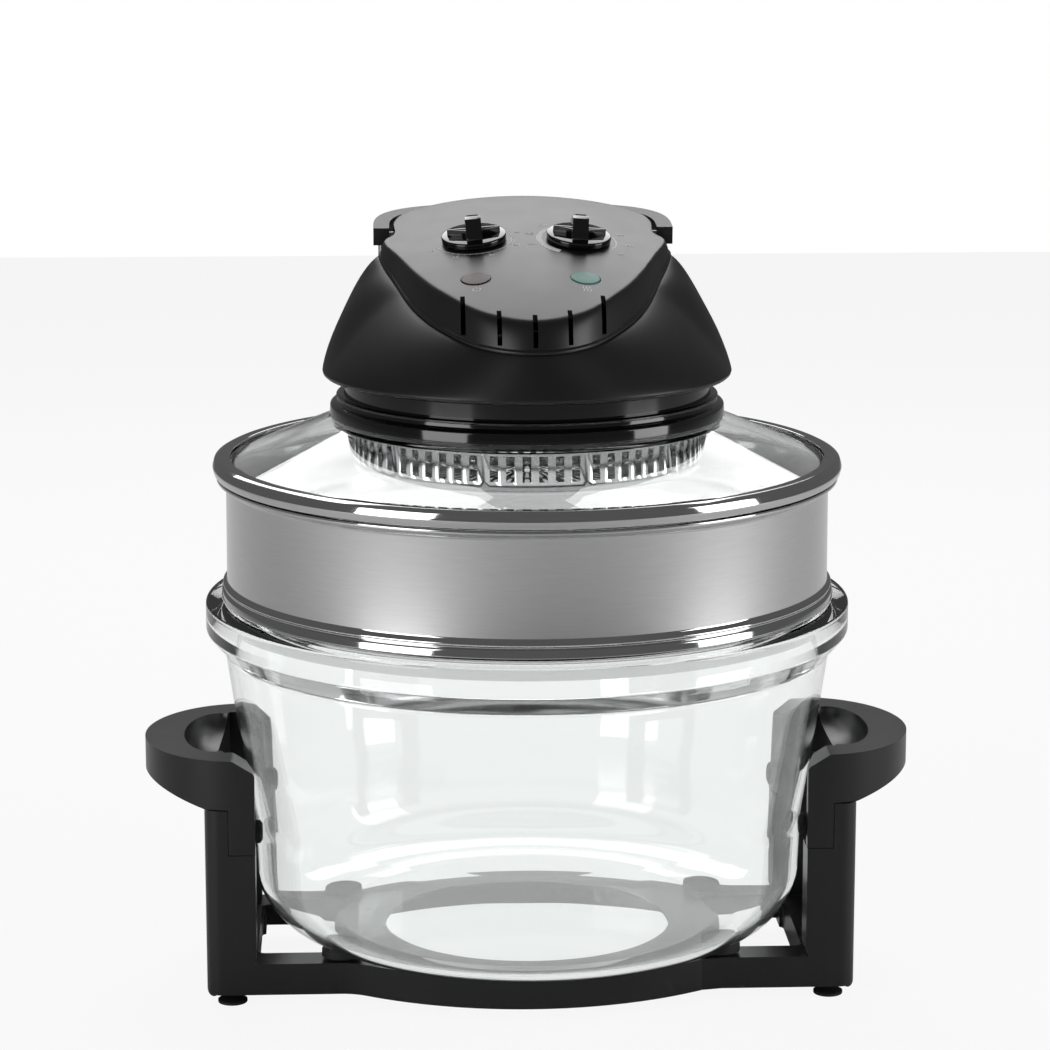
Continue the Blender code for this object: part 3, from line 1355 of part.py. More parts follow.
def lift_handle(parts, tools):
    steps = 4 * ARC_STEPS
    outer = bail_outline(BAIL_OUTER_X, BAIL_OUTER_REACH, steps)
    inner = bail_outline(BAIL_INNER_X, BAIL_INNER_REACH, steps)
    outline = [(BAIL_OUTER_X, -BAIL_HEEL)] + outer + [(-BAIL_OUTER_X, -BAIL_HEEL)]
    outline += [(-BAIL_INNER_X, -BAIL_HEEL)] + list(reversed(inner)) + [(BAIL_INNER_X, -BAIL_HEEL)]
    obj = plate("lift_handle", [outline], -BAIL_THICKNESS / 2, BAIL_THICKNESS / 2, parts)
    obj = bake(obj)
    inner_end = BAIL_INNER_X - CUT_OVERRUN
    blind_end = BAIL_OUTER_X - (BAIL_OUTER_X - BAIL_INNER_X) / 4
    for side in (-1, 1):
        start = (side * inner_end, 0, 0)
        cut(obj, cylinder(f"bail_bore_{side}", PIN_BORE, start, (side * blind_end, 0, 0), tools), tools)
    obj = bake(obj)
    obj.data.transform(Matrix.Rotation(BAIL_TILT, 4, "X"))
    obj.location = (0, BAIL_PIVOT_Y, BAIL_PIVOT_Z)
    own_material(obj, BLACK_MATT)
    return obj


def handle_pin(name, side, parts):
    outer = BAIL_OUTER_X - (BAIL_OUTER_X - BAIL_INNER_X) / 4 - GAP
    obj = cylinder(name, PIN_RADIUS, (side * (outer - PIN_LENGTH), BAIL_PIVOT_Y, BAIL_PIVOT_Z),
                   (side * outer, BAIL_PIVOT_Y, BAIL_PIVOT_Z), parts)
    own_material(obj, DULL_STEEL)
    return obj


def safety_switch(parts):
    """A switch box inside the dome, with a push rod that the bail holds down."""
    width, depth, height = SWITCH_SIZE
    foot = BAND_TOP + GAP
    centre = (PLUNGER_X + width / 3, PLUNGER_Y - depth / 4, foot + height / 2)
    obj = box("safety_switch", SWITCH_SIZE, centre, parts)
    own_material(obj, GREY_PLASTIC)
    reach = PLUNGER_Y - BAIL_PIVOT_Y - PLUNGER_RADIUS
    under = BAIL_PIVOT_Z + reach * math.tan(BAIL_TILT) - BAIL_THICKNESS / 2 / math.cos(BAIL_TILT)
    rod = cylinder("switch_plunger", PLUNGER_RADIUS, (PLUNGER_X, PLUNGER_Y, foot + height + GAP),
                   (PLUNGER_X, PLUNGER_Y, under - GAP), parts)
    own_material(rod, GREY_PLASTIC)


def terminal_block(parts):
    floor = LID_TOP + GAP + FLOOR_THICKNESS + GAP
    obj = box("terminal_block", TERMINAL_SIZE, (0, TERMINAL_Y, floor + TERMINAL_SIZE[2] / 2), parts)
    own_material(obj, CERAMIC)


def build():
    clear_scene()
    parts = new_collection("convection_oven")
    tools = new_collection("cutters")
    stand_base(parts, tools)
    handle("left_handle", -1, parts, tools)
    handle("right_handle", 1, parts, tools)
    stand_rubber(parts)
    glass_bowl(parts)
    extender_ring(parts)
    lid_rim(parts)
    lid_gasket(parts)
    lid_glass(parts)
    lower_housing(parts, tools)
    collar_ring(parts)
    heater_guard(parts, tools)
    heat_shield(parts)
    halogen_tube(parts)
    lamp_holder("lamp_holder_left", -1, parts)
    lamp_holder("lamp_holder_right", 1, parts)
    hot_air_fan(parts, tools)
    cooling_fan(parts, tools)
    motor_shaft(parts)
    fan_nut(parts)
    fan_motor(parts)
    motor_bracket(parts, tools)
    dome_housing(parts, tools)
    control_pod(parts, tools)
    cord_gland(parts)
    knob("timer_knob", -1, parts, tools)
    knob("thermostat_knob", 1, parts, tools)
    pointer("timer_pointer", -1, parts)
    pointer("thermostat_pointer", 1, parts)
    dial_unit("timer_unit", -1, parts, tools)
    dial_unit("thermostat_unit", 1, parts, tools)
    lamp_lens("power_lens", -1, RED_LENS, parts)
    lamp_lens("heat_lens", 1, TEAL_LENS, parts)
    lift_handle(parts, tools)
    handle_pin("handle_pin_left", -1, parts)
    handle_pin("handle_pin_right", 1, parts)
    safety_switch(parts)
    terminal_block(parts)


build()
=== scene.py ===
"""Dresses the countertop convection oven: finer shells, glass, steel and printed dials over its CAD frame."""

from math import asin, atan2, copysign, cos, degrees, pi, radians, sin, tan, tau

import bmesh
import bpy
from bpy.props import FloatProperty, StringProperty
from mathutils import Matrix, Vector


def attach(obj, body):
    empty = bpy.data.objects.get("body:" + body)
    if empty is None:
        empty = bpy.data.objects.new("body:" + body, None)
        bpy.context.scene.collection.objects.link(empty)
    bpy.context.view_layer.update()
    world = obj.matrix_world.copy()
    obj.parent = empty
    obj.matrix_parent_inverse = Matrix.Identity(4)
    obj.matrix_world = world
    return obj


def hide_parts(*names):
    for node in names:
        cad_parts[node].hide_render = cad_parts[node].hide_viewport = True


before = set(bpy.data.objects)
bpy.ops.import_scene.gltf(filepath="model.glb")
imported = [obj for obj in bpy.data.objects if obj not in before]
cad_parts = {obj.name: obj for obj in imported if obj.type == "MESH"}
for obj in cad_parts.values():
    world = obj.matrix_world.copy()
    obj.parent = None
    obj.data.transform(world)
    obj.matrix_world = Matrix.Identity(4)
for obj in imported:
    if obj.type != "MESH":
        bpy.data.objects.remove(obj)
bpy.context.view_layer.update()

bl_info = {
    "name": "Convection oven",
    "version": (1, 0, 0),
    "blender": (4, 5, 0),
    "location": "3D View > Sidebar > Oven",
    "description": "Builds a glass convection oven piece by piece over its frame",
    "category": "Object",
}

MM = 0.001
WELD = 0.000002
RING = 192
FINE_RING = 256
SIDES = ((-1, "left"), (1, "right"))
PLACES = ((-1, -1, "front_left"), (1, -1, "front_right"), (-1, 1, "rear_left"), (1, 1, "rear_right"))


class OvenFinish(bpy.types.PropertyGroup):
    """Colours and gloss of the oven."""

    black: StringProperty(
        name="Black plastic", description="sRGB hex of the black mouldings", default="#161617")
    satin: FloatProperty(
        name="Satin roughness", description="Roughness of the spark-eroded plastic", default=0.36,
        min=0.0, max=1.0, subtype="FACTOR")
    steel: StringProperty(
        name="Stainless steel", description="sRGB hex of the polished steel", default="#d9d9da")
    glass: StringProperty(name="Glass tint", description="sRGB hex of the glass", default="#fafcfb")
    power: StringProperty(name="Power lens", description="sRGB hex of the left lens", default="#33120f")
    heat: StringProperty(name="Heat lens", description="sRGB hex of the right lens", default="#2f8578")
    print_white: StringProperty(
        name="Print", description="sRGB hex of the printed scales", default="#f2f2f0")


class OvenStage(bpy.types.PropertyGroup):
    """Camera and lamps."""

    azimuth: FloatProperty(
        name="Azimuth", description="Camera's turn round the oven", default=radians(-2.6), subtype="ANGLE")
    distance: FloatProperty(
        name="Distance", description="Camera's distance from the axis", default=1.785, unit="LENGTH")
    height: FloatProperty(name="Height", description="Camera's height", default=0.6, unit="LENGTH")
    pitch: FloatProperty(
        name="Pitch", description="How far the camera looks down", default=radians(11.5), subtype="ANGLE")
    lens: FloatProperty(name="Lens", description="Focal length in millimetres", default=121.6)
    top_power: FloatProperty(
        name="Top light", description="Power of the light above and behind", default=17.0, unit="POWER")
    side_power: FloatProperty(
        name="Side lights", description="Power of each soft box at the side", default=13.0, unit="POWER")


# Colours and materials

# The broad change of gloss against the grain's size, and the grain's darker share.
BROAD = 40
DARKER = 0.86
MATERIALS = {}


def linear(code):
    """Turns an sRGB hex colour into linear values with full alpha."""
    values = [int(code[i:i + 2], 16) / 255 for i in (1, 3, 5)]
    return (*[v / 12.92 if v <= 0.04045 else ((v + 0.055) / 1.055) ** 2.4 for v in values], 1.0)


def add_node(tree, kind, links=None, **settings):
    """Adds a node. Settings name its properties or sockets, and links name what feeds its sockets."""
    node = tree.nodes.new(kind)
    for key, value in settings.items():
        if hasattr(node, key):
            setattr(node, key, value)
        else:
            node.inputs[key.replace("_", " ")].default_value = value
    for key, source in (links or {}).items():
        tree.links.new(source, node.inputs[key])
    return node


def new_material(name, colour, roughness, metallic=0.0, **settings):
    """A material with a plain Principled shader. Returns it with its tree and shader."""
    mat = bpy.data.materials.new(name)
    mat.use_nodes = True
    tree = mat.node_tree
    shader = tree.nodes["Principled BSDF"]
    shader.inputs["Base Color"].default_value = linear(colour)
    shader.inputs["Roughness"].default_value = roughness
    shader.inputs["Metallic"].default_value = metallic
    for key, value in settings.items():
        shader.inputs[key.replace("_", " ")].default_value = value
    mat.diffuse_color = linear(colour)
    return mat, tree, shader


def grained(name, colour, roughness, size_mm, strength, depth_mm, spread, stretch=(1, 1, 1), **settings):
    """A material with a fine grain: bump, and a little change of colour and roughness from noise."""
    mat, tree, shader = new_material(name, colour, roughness, **settings)
    place = add_node(tree, "ShaderNodeTexCoord")
    scale = add_node(tree, "ShaderNodeMapping", {"Vector": place.outputs["Object"]})
    scale.inputs["Scale"].default_value = stretch
    noise = add_node(tree, "ShaderNodeTexNoise", {"Vector": scale.outputs["Vector"]},
                     Scale=1 / (size_mm * MM), Detail=3.0)
    bump = add_node(tree, "ShaderNodeBump", {"Height": noise.outputs["Fac"]}, Strength=strength,
                    Distance=depth_mm * MM)
    tree.links.new(bump.outputs["Normal"], shader.inputs["Normal"])
    broad = add_node(tree, "ShaderNodeTexNoise", {"Vector": scale.outputs["Vector"]},
                     Scale=1 / (BROAD * size_mm * MM), Detail=4.0)
    rough = add_node(tree, "ShaderNodeMapRange", {"Value": broad.outputs["Fac"]},
                     To_Min=roughness - spread, To_Max=roughness + spread)
    tree.links.new(rough.outputs["Result"], shader.inputs["Roughness"])
    tint = add_node(tree, "ShaderNodeMix", {"Factor": noise.outputs["Fac"]}, data_type="RGBA")
    tint.inputs[6].default_value = (*[c * DARKER for c in linear(colour)[:3]], 1.0)
    tint.inputs[7].default_value = linear(colour)
    tree.links.new(tint.outputs[2], shader.inputs["Base Color"])
    return mat


def satin_plastic(name, colour, roughness):
    """ABS moulded in a spark-eroded tool: a fine even grain that spreads highlights."""
    return grained(name, colour, roughness, 0.35, 0.25, 0.02, 0.03)


def gloss_plastic(name):
    """ABS moulded in a polished tool: nearly mirror smooth, with faint flow marks."""
    return grained(name, "#0a0a0a", 0.09, 6.0, 0.05, 0.02, 0.02, Coat_Weight=0.3, Coat_Roughness=0.05)


def moulded_rubber(name):
    """Compression moulded rubber: dull, with a dusty bloom."""
    return grained(name, "#1a1a1a", 0.72, 0.5, 0.35, 0.03, 0.06)


def rolled_steel(name, colour, roughness):
    """Stainless sheet, rolled and buffed round the axis: bright, with fine streaks along its length."""
    return grained(name, colour, roughness, 0.9, 0.10, 0.004, 0.015, (0.06, 0.06, 1.0), metallic=1.0)


def plated_steel(name, colour, roughness):
    """Zinc plated or bare pressings, and plastic with metal flake: grey, slightly mottled."""
    return grained(name, colour, roughness, 1.2, 0.2, 0.01, 0.06, metallic=1.0)


def pressed_glass(name, colour, streak_mm):
    """Tempered soda glass, pressed in a mould: clear, with very slight waves from the mould."""
    mat, tree, shader = new_material(name, colour, 0.0, Transmission_Weight=1.0, IOR=1.5)
    place = add_node(tree, "ShaderNodeTexCoord")
    wave = add_node(tree, "ShaderNodeTexNoise", {"Vector": place.outputs["Object"]},
                    Scale=1 / (streak_mm * MM), Detail=1.0)
    bump = add_node(tree, "ShaderNodeBump", {"Height": wave.outputs["Fac"]}, Strength=0.25,
                    Distance=0.8 * MM)
    tree.links.new(bump.outputs["Normal"], shader.inputs["Normal"])
    return mat


def screen_print(name, colour):
    """White epoxy ink, screen printed: flat, slightly uneven in thickness."""
    return grained(name, colour, 0.55, 0.4, 0.2, 0.01, 0.05)


def lens_plastic(name, colour):
    """Tinted acrylic lens, frosted on its back: even colour with a soft gloss."""
    return grained(name, colour, 0.35, 0.6, 0.05, 0.01, 0.03, Specular_IOR_Level=0.25)


def fired_ceramic(name):
    """Steatite, pressed and fired: off-white and chalky."""
    return grained(name, "#d8d2c4", 0.7, 0.5, 0.3, 0.03, 0.05)


def silicone_rubber(name):
    """Moulded silicone: milky, softly shiny."""
    return grained(name, "#a9aaaa", 0.45, 0.8, 0.1, 0.02, 0.05)


def finish_named(name):
    """The shared material of that name, made when first asked for."""
    finish = bpy.context.scene.oven_finish
    makers = {
        "satin_abs": (satin_plastic, finish.black, finish.satin),
        "stand_abs": (satin_plastic, finish.black, 0.30),
        "polished_abs": (gloss_plastic,),
        "moulded_rubber": (moulded_rubber,),
        "polished_stainless": (rolled_steel, finish.steel, 0.06),
        "bright_guard_steel": (rolled_steel, finish.steel, 0.16),
        "zinc_plated_steel": (plated_steel, "#8f9092", 0.32),
        "mill_aluminium": (plated_steel, "#c4c5c7", 0.3),
        "tempered_glass": (pressed_glass, finish.glass, 60.0),
        "quartz_tube": (pressed_glass, finish.glass, 15.0),
        "white_print": (screen_print, finish.print_white),
        "power_acrylic": (lens_plastic, finish.power),
        "heat_acrylic": (lens_plastic, finish.heat),
        "fired_ceramic": (fired_ceramic,),
        "silicone_rubber": (silicone_rubber,),
        "grey_abs": (plated_steel, "#8d8e8f", 0.4),
    }
    if name not in MATERIALS:
        maker, *values = makers[name]
        MATERIALS[name] = maker(name, *values)
    return MATERIALS[name]


# Shapes


def painted(obj, material):
    """Gives an object one material in place of its own."""
    obj.data.materials.clear()
    obj.data.materials.append(finish_named(material))


def place_piece(obj, body, material, *nodes):
    """Gives a piece its material, lets it ride on its body and stand for its CAD nodes."""
    painted(obj, material)
    if nodes:
        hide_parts(*nodes)
    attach(obj, body)
    return obj


def shade(obj, sharp=30.0):
    """Smooth shading, with edges over that many degrees kept hard."""
    obj.data.shade_smooth()
    obj.data.set_sharp_from_angle(angle=radians(sharp))
    return obj


def linked(name, data):
    """A new object in the scene."""
    obj = bpy.data.objects.new(name, data)
    bpy.context.scene.collection.objects.link(obj)
    return obj


def clean(mesh):
    """Welds doubled points and turns the normals outward."""
    work = bmesh.new()
    work.from_mesh(mesh)
    bmesh.ops.remove_doubles(work, verts=work.verts, dist=WELD)
    bmesh.ops.recalc_face_normals(work, faces=work.faces)
    work.to_mesh(mesh)
    work.free()


def mesh_piece(name, points, faces):
    """An object from points in millimetres and faces, with its normals turned outward."""
    mesh = bpy.data.meshes.new(name)
    mesh.from_pydata([(x * MM, y * MM, z * MM) for x, y, z in points], [], faces)
    clean(mesh)
    return linked(name, mesh)


def baked(obj):
    """The same object with its modifiers applied."""
    bpy.context.view_layer.update()
    graph = bpy.context.evaluated_depsgraph_get()
    mesh = bpy.data.meshes.new_from_object(obj.evaluated_get(graph))
    mesh.transform(obj.matrix_world)
    name = obj.name
    bpy.data.objects.remove(obj, do_unlink=True)
    return linked(name, mesh)


def carve(obj, *tools, operation="DIFFERENCE"):
    """Cuts or intersects an object with other solids, which are then removed."""
    for tool in tools:
        step = obj.modifiers.new("Carve", "BOOLEAN")
        step.operation = operation
        step.object = tool
        step.solver = "EXACT"
    fresh = baked(obj)
    for tool in tools:
        bpy.data.objects.remove(tool, do_unlink=True)
    return fresh


def soften(obj, width_mm, segments=3, sharp=35.0):
    """Rounds the edges over that many degrees."""
    bevel = obj.modifiers.new("Soft edges", "BEVEL")
    bevel.width = width_mm * MM
    bevel.segments = segments
    bevel.limit_method = "ANGLE"
    bevel.angle_limit = radians(sharp)
    bevel.harden_normals = True
    return obj


def fillet(points, steps=6):
    """Rounds the corners of an outline. A point is (x, y) or (x, y, radius)."""
    result = []
    count = len(points)
    for i, point in enumerate(points):
        here = Vector(point[:2])
        radius = point[2] if len(point) > 2 else 0
        if not radius:
            result.append(tuple(here))
            continue
        back = (Vector(points[i - 1][:2]) - here).normalized()
        ahead = (Vector(points[(i + 1) % count][:2]) - here).normalized()
        half = back.angle(ahead) / 2
        reach = radius / tan(half)
        centre = here + (back + ahead).normalized() * radius / sin(half)
        start = here + back * reach - centre
        turn = start.angle_signed(here + ahead * reach - centre)
        for k in range(steps + 1):
            angle = -turn * k / steps
            c, s = cos(angle), sin(angle)
            result.append((centre.x + start.x * c - start.y * s, centre.y + start.x * s + start.y * c))
    return result


def lathe(name, profile, steps=RING):
    """Turns a closed outline of (radius, height) in millimetres about the axis."""
    points = []
    rows = []
    for r, z in profile:
        if r < 1e-6:
            rows.append([len(points)] * steps)
            points.append((0, 0, z))
        else:
            rows.append(list(range(len(points), len(points) + steps)))
            for i in range(steps):
                a = tau * i / steps
                points.append((r * sin(a), -r * cos(a), z))
    faces = []
    for row, after in zip(rows, rows[1:] + rows[:1]):
        for i in range(steps):
            k = (i + 1) % steps
            corners = []
            for v in (row[i], row[k], after[k], after[i]):
                if v not in corners:
                    corners.append(v)
            if len(corners) > 2:
                faces.append(corners)
    return shade(mesh_piece(name, points, faces))


def prism(name, loops, low, high, flip=False):
    """A plate in millimetres from an outline and its holes. With flip it stands and the loops are (x, z)."""
    curve = bpy.data.curves.new(name, "CURVE")
    curve.dimensions = "2D"
    curve.fill_mode = "BOTH"
    curve.extrude = (high - low) / 2 * MM
    for loop in loops:
        spline = curve.splines.new("POLY")
        spline.points.add(len(loop) - 1)
        for point, (x, y) in zip(spline.points, loop):
            point.co = (x * MM, y * MM, 0, 1)
        spline.use_cyclic_u = True
    obj = baked(linked(name, curve))
    middle = (high + low) / 2 * MM
    if flip:
        obj.data.transform(Matrix.Rotation(pi / 2, 4, "X") @ Matrix.Translation((0, 0, -middle)))
    else:
        obj.data.transform(Matrix.Translation((0, 0, middle)))
    clean(obj.data)
    return obj


def arc(cx, cy, radius, start, end, steps):
    """Points on an arc, with its angles in degrees."""
    turns = [radians(start + (end - start) * i / steps) for i in range(steps + 1)]
    return [(cx + radius * cos(a), cy + radius * sin(a)) for a in turns]


def block(name, size, centre):
    """A box of that size about its centre."""
    sx, sy, sz = (v / 2 for v in size)
    cx, cy, cz = centre
    points = [(cx + x * sx, cy + y * sy, cz + z * sz) for x in (-1, 1) for y in (-1, 1) for z in (-1, 1)]
    faces = [(0, 1, 3, 2), (4, 6, 7, 5), (0, 4, 5, 1), (2, 3, 7, 6), (0, 2, 6, 4), (1, 5, 7, 3)]
    return mesh_piece(name, points, faces)


def rod(name, radius, low, high, steps=48):
    """A round bar between two points."""
    start, end = Vector(low), Vector(high)
    length = (end - start).length
    obj = lathe(name, [(0, 0), (radius, 0), (radius, length), (0, length)], steps)
    turn = (end - start).to_track_quat("Z", "Y").to_matrix().to_4x4()
    obj.data.transform(Matrix.Translation(start * MM) @ turn)
    return obj


def merged(name, *objs):
    """One object from several, kept as separate shells."""
    work = bmesh.new()
    for obj in objs:
        work.from_mesh(obj.data)
    mesh = bpy.data.meshes.new(name)
    work.to_mesh(mesh)
    work.free()
    for obj in objs:
        bpy.data.objects.remove(obj, do_unlink=True)
    return linked(name, mesh)


def grid_piece(name, rings, tips=()):
    """Skins rings of points. Two tips close the ends; without them the last ring meets the first."""
    points = [p for ring in rings for p in ring]
    count = len(rings[0])
    rows = [range(i * count, (i + 1) * count) for i in range(len(rings))]
    following = rows[1:] if tips else rows[1:] + rows[:1]
    faces = []
    for row, after in zip(rows, following):
        for i in range(count):
            k = (i + 1) % count
            faces.append((row[i], row[k], after[k], after[i]))
    for row, tip in zip((rows[0], rows[-1]), tips):
        points.append(tip)
        for i in range(count):
            faces.append((row[i], row[(i + 1) % count], len(points) - 1))
    return mesh_piece(name, points, faces)


# Outlines of the head, as in the frame

HALF_WIDTH = 77.0
LENGTH = 98.0
LIP_Z, LIP_RISE, LIP_POWER = 340.0, 37.0, 1.3
LEVEL_Y = 37.0
PANEL_FRONT = (-88.0, 356.0)
PANEL_SLOPE = 41.0 / 163.0
PANEL_MIDDLE, PANEL_REACH = -6.5, 81.5
CROWN_ALONG, CROWN_ACROSS = 4.0, 8.9
KNOB_X, KNOB_Y = 26.5, 8.0
LAMP_X, LAMP_Y = 27.2, -42.0
TOP_EDGE = (
    (0.000, -0.898), (0.320, -0.786), (0.565, -0.515), (0.715, -0.260), (0.830, 0.010),
    (0.925, 0.265), (0.862, 0.365), (0.862, 0.560), (0.760, 0.700), (0.440, 0.780), (0.000, 0.806),
)
LIP_EDGE = (
    (0.000, -1.000), (0.330, -0.890), (0.610, -0.600), (0.770, -0.340), (0.885, -0.030),
    (0.974, 0.250), (0.885, 0.362), (0.885, 0.575), (0.790, 0.730), (0.455, 0.822), (0.000, 0.855),
)


def loop_of(shares, steps=12):
    """A smooth closed loop through the points of an edge and their mirror images."""
    right = [(x * HALF_WIDTH, y * LENGTH) for x, y in shares]
    points = right + [(-x, y) for x, y in reversed(right[1:-1])]
    count = len(points)
    result = []
    for i in range(count):
        p0, p1, p2, p3 = (Vector(points[(i + k) % count]) for k in (-1, 0, 1, 2))
        for k in range(steps):
            t = k / steps
            result.append(tuple(0.5 * ((2 * p1) + (p2 - p0) * t + (2 * p0 - 5 * p1 + 4 * p2 - p3) * t ** 2
                                       + (3 * p1 - p0 - 3 * p2 + p3) * t ** 3)))
    return result


def lip_z(y):
    """Height of the pod's lip: it rises from the front and is level behind LEVEL_Y."""
    t = min(max((y + LENGTH) / (LENGTH + LEVEL_Y), 0.0), 1.0)
    return LIP_Z + LIP_RISE * t ** LIP_POWER


def top_z(x, y):
    """Height of the sloping, crowned panel."""
    front_y, front_z = PANEL_FRONT
    along = 1 - ((y - PANEL_MIDDLE) / PANEL_REACH) ** 2
    return (front_z + PANEL_SLOPE * (y - front_y) + CROWN_ALONG * along
            - CROWN_ACROSS * (x / HALF_WIDTH) ** 2)


def drawn_in(loop, inset):
    """The loop made smaller by an inset at its sides."""
    share = 1 - inset / HALF_WIDTH
    return [(x * share, y * share) for x, y in loop]


def panel_place(x, y, lift=0.0):
    """Place on the panel in metres, with Z along its outward normal. x and y are in millimetres."""
    dx = (top_z(x + 0.5, y) - top_z(x - 0.5, y))
    dy = (top_z(x, y + 0.5) - top_z(x, y - 0.5))
    normal = Vector((-dx, -dy, 1)).normalized()
    across = Vector((0, 1, 0)).cross(normal).normalized()
    turn = Matrix((across, normal.cross(across), normal)).transposed().to_4x4()
    point = Vector((x, y, top_z(x, y))) + normal * lift
    return Matrix.Translation(point * MM) @ turn


# Pieces of the stand

STAND_X, STAND_Y, STAND_CORNER = 165.5, 59.0, 8.0
BULGE_X, BULGE_Y, JOINT = 90.0, 87.0, 7.0
POST_X, POST_Y = 140.0, 41.0
DISC_HOLE, DISC_EDGE = 74.0, 100.0
HANDLE_X, HANDLE_RING = 139.8, 161.0
RUBBER_Y = 50


def plan_outline(inset):
    """The stand from above: straight bars with a round bulge in front and behind."""
    x, y = STAND_X - inset, STAND_Y - inset
    corner = STAND_CORNER
    reach, chord = BULGE_Y - inset, BULGE_X - inset
    rise = reach - y
    radius = (chord ** 2 + rise ** 2) / (2 * rise)
    sweep = degrees(asin(chord / radius))
    front = arc(0, radius - reach, radius, 270 - sweep, 270 + sweep, 48)
    left = [(-x + corner * (1 - cos(radians(a))),
             -y + corner * (1 - sin(radians(a)))) for a in range(0, 91, 10)]
    half = left + soft_joint(front)
    half += [(-px, py) for px, py in reversed(left)]
    return half + [(-px, -py) for px, py in half]


def soft_joint(front):
    """The bulge with its two hollow corners rounded where it meets the straight bars."""
    kept = front[2:-2]
    lead = [(front[0][0] - JOINT, front[0][1])]
    tail = [(front[-1][0] + JOINT, front[-1][1])]
    start, first, last, end = (Vector(p) for p in (lead[0], front[0], front[-1], tail[0]))
    for k in range(1, 6):
        t = k / 6
        lead.append(tuple(start.lerp(first, t).lerp(first.lerp(Vector(kept[0]), t), t)))
        tail.insert(-1, tuple(Vector(kept[-1]).lerp(last, t).lerp(last.lerp(Vector(tail[0]), t), t)))
    return lead + kept + tail


def plan_holes(grow):
    """The round hole under the bowl and the two side windows."""
    x, y = POST_X + grow, POST_Y + grow
    ring = DISC_EDGE - grow
    sweep = degrees(asin(y / ring))
    inner = arc(0, 0, ring, sweep, -sweep, 32)
    side = fillet([(*inner[-1], 0), (x, -y, 4), (x, y, 4), (*inner[0], 0)]) + inner[1:-1]
    return [arc(0, 0, DISC_HOLE + grow, 0, 360, 128)[:-1], side, [(-px, py) for px, py in side]]


def make_stand():
    right = fillet([(STAND_X, 1.8, 3), (STAND_X, 103.2), (153.5, 103.2), (153.5, 79.7), (POST_X, 79.7),
                    (POST_X, 24, 5)], 8)
    profile = right + [(-x, z) for x, z in reversed(right)]
    body = prism("stand_moulding", [profile], -95, 95, True)
    plan = prism("plan_tool", [plan_outline(0)] + plan_holes(0), -5, 110)
    body = carve(body, plan, operation="INTERSECT")
    middle = block("between_tool", (340, 82, 100), (0, 0, 74))
    under = prism("under_tool", [plan_outline(2.6)] + plan_holes(-2.6), -5, 21)
    room = block("room_tool", (276, 180, 60), (0, 0, 0))
    under = carve(under, room, operation="INTERSECT")
    body = carve(body, middle, under)
    soften(shade(body, 25), 1.3, 3, 30)
    return place_piece(body, "stand", "stand_abs", "stand_base")


def make_handle(side, name):
    """A crescent grip with a hollow for the thumb."""
    centre, reach = 147.9, 49.6
    outline = [(HANDLE_X, -STAND_Y)]
    outline += [(centre + reach * cos(radians(a)), STAND_Y * sin(radians(a)))
                for a in range(-90, 91, 2)]
    outline += [(HANDLE_X, STAND_Y), (HANDLE_X, POST_Y, 2)]
    sweep = degrees(asin(POST_Y / HANDLE_RING))
    outline += arc(0, 0, HANDLE_RING, sweep, -sweep, 24)
    outline += [(HANDLE_X, -POST_Y, 2)]
    slab = prism("handle_" + name, [fillet(outline)], 75, 133)
    side_view = fillet([(HANDLE_X, 80), (153.3, 80), (153.3, 103.5), (STAND_X, 103.5), (200, 113.5),
                        (200, 129), (151, 129, 4), (HANDLE_X, 122, 3)])
    slab = carve(slab, prism("shape_tool", [side_view], -70, 70, True), operation="INTERSECT")
    bpy.ops.mesh.primitive_uv_sphere_add(segments=64, ring_count=32, radius=1.0)
    scoop = bpy.context.object
    scoop.data.transform(Matrix.Translation(Vector((160.5, 0, 130.5)) * MM)
                         @ Matrix.Diagonal((17 * MM, 39 * MM, 15 * MM, 1)))
    scoop.location = (0, 0, 0)
    slab = carve(slab, scoop, rod("room_tool", 149.9, (0, 0, 70), (0, 0, 140), FINE_RING))
    if side < 0:
        slab.data.transform(Matrix.Diagonal((-1, 1, 1, 1)))
        slab.data.flip_normals()
    soften(shade(slab, 25), 1.8, 4, 30)
    return place_piece(slab, "stand", "stand_abs", name + "_handle")


def make_rubber():
    for sx, sy, name in PLACES:
        foot = lathe("rubber_foot_" + name, fillet([(0, 0), (7.5, 0, 0.4), (7.5, 1.5), (0, 1.5)]), 48)
        foot.data.transform(Matrix.Translation((sx * 152.75 * MM, sy * RUBBER_Y * MM, 0)))
        place_piece(foot, "stand", "moulded_rubber", "foot_" + name)
        pad = lathe("rubber_pad_" + name, fillet([(0, 24.3), (10, 24.3), (10, 28.3, 0.8), (7, 28.3, 0.3),
                                                 (6.6, 27.9, 0.3), (0, 27.9)]), 64)
        pad.data.transform(Matrix.Translation((sx * 97 * MM, sy * RUBBER_Y * MM, 0)))
        place_piece(pad, "stand", "moulded_rubber", "bowl_pad_" + name)
        stud = lathe("rubber_bumper_" + name, fillet([(0, 0), (6, 0), (6, 2.2, 1), (4, 3.5, 1.5),
                                                      (0, 3.5)]), 48)
        place = Matrix.Translation(Vector((sx * 139.7, sy * RUBBER_Y, 90)) * MM)
        stud.data.transform(place @ Matrix.Rotation(-sx * pi / 2, 4, "Y"))
        place_piece(stud, "stand", "moulded_rubber", "bumper_" + name)


# Bowl, ring and lid


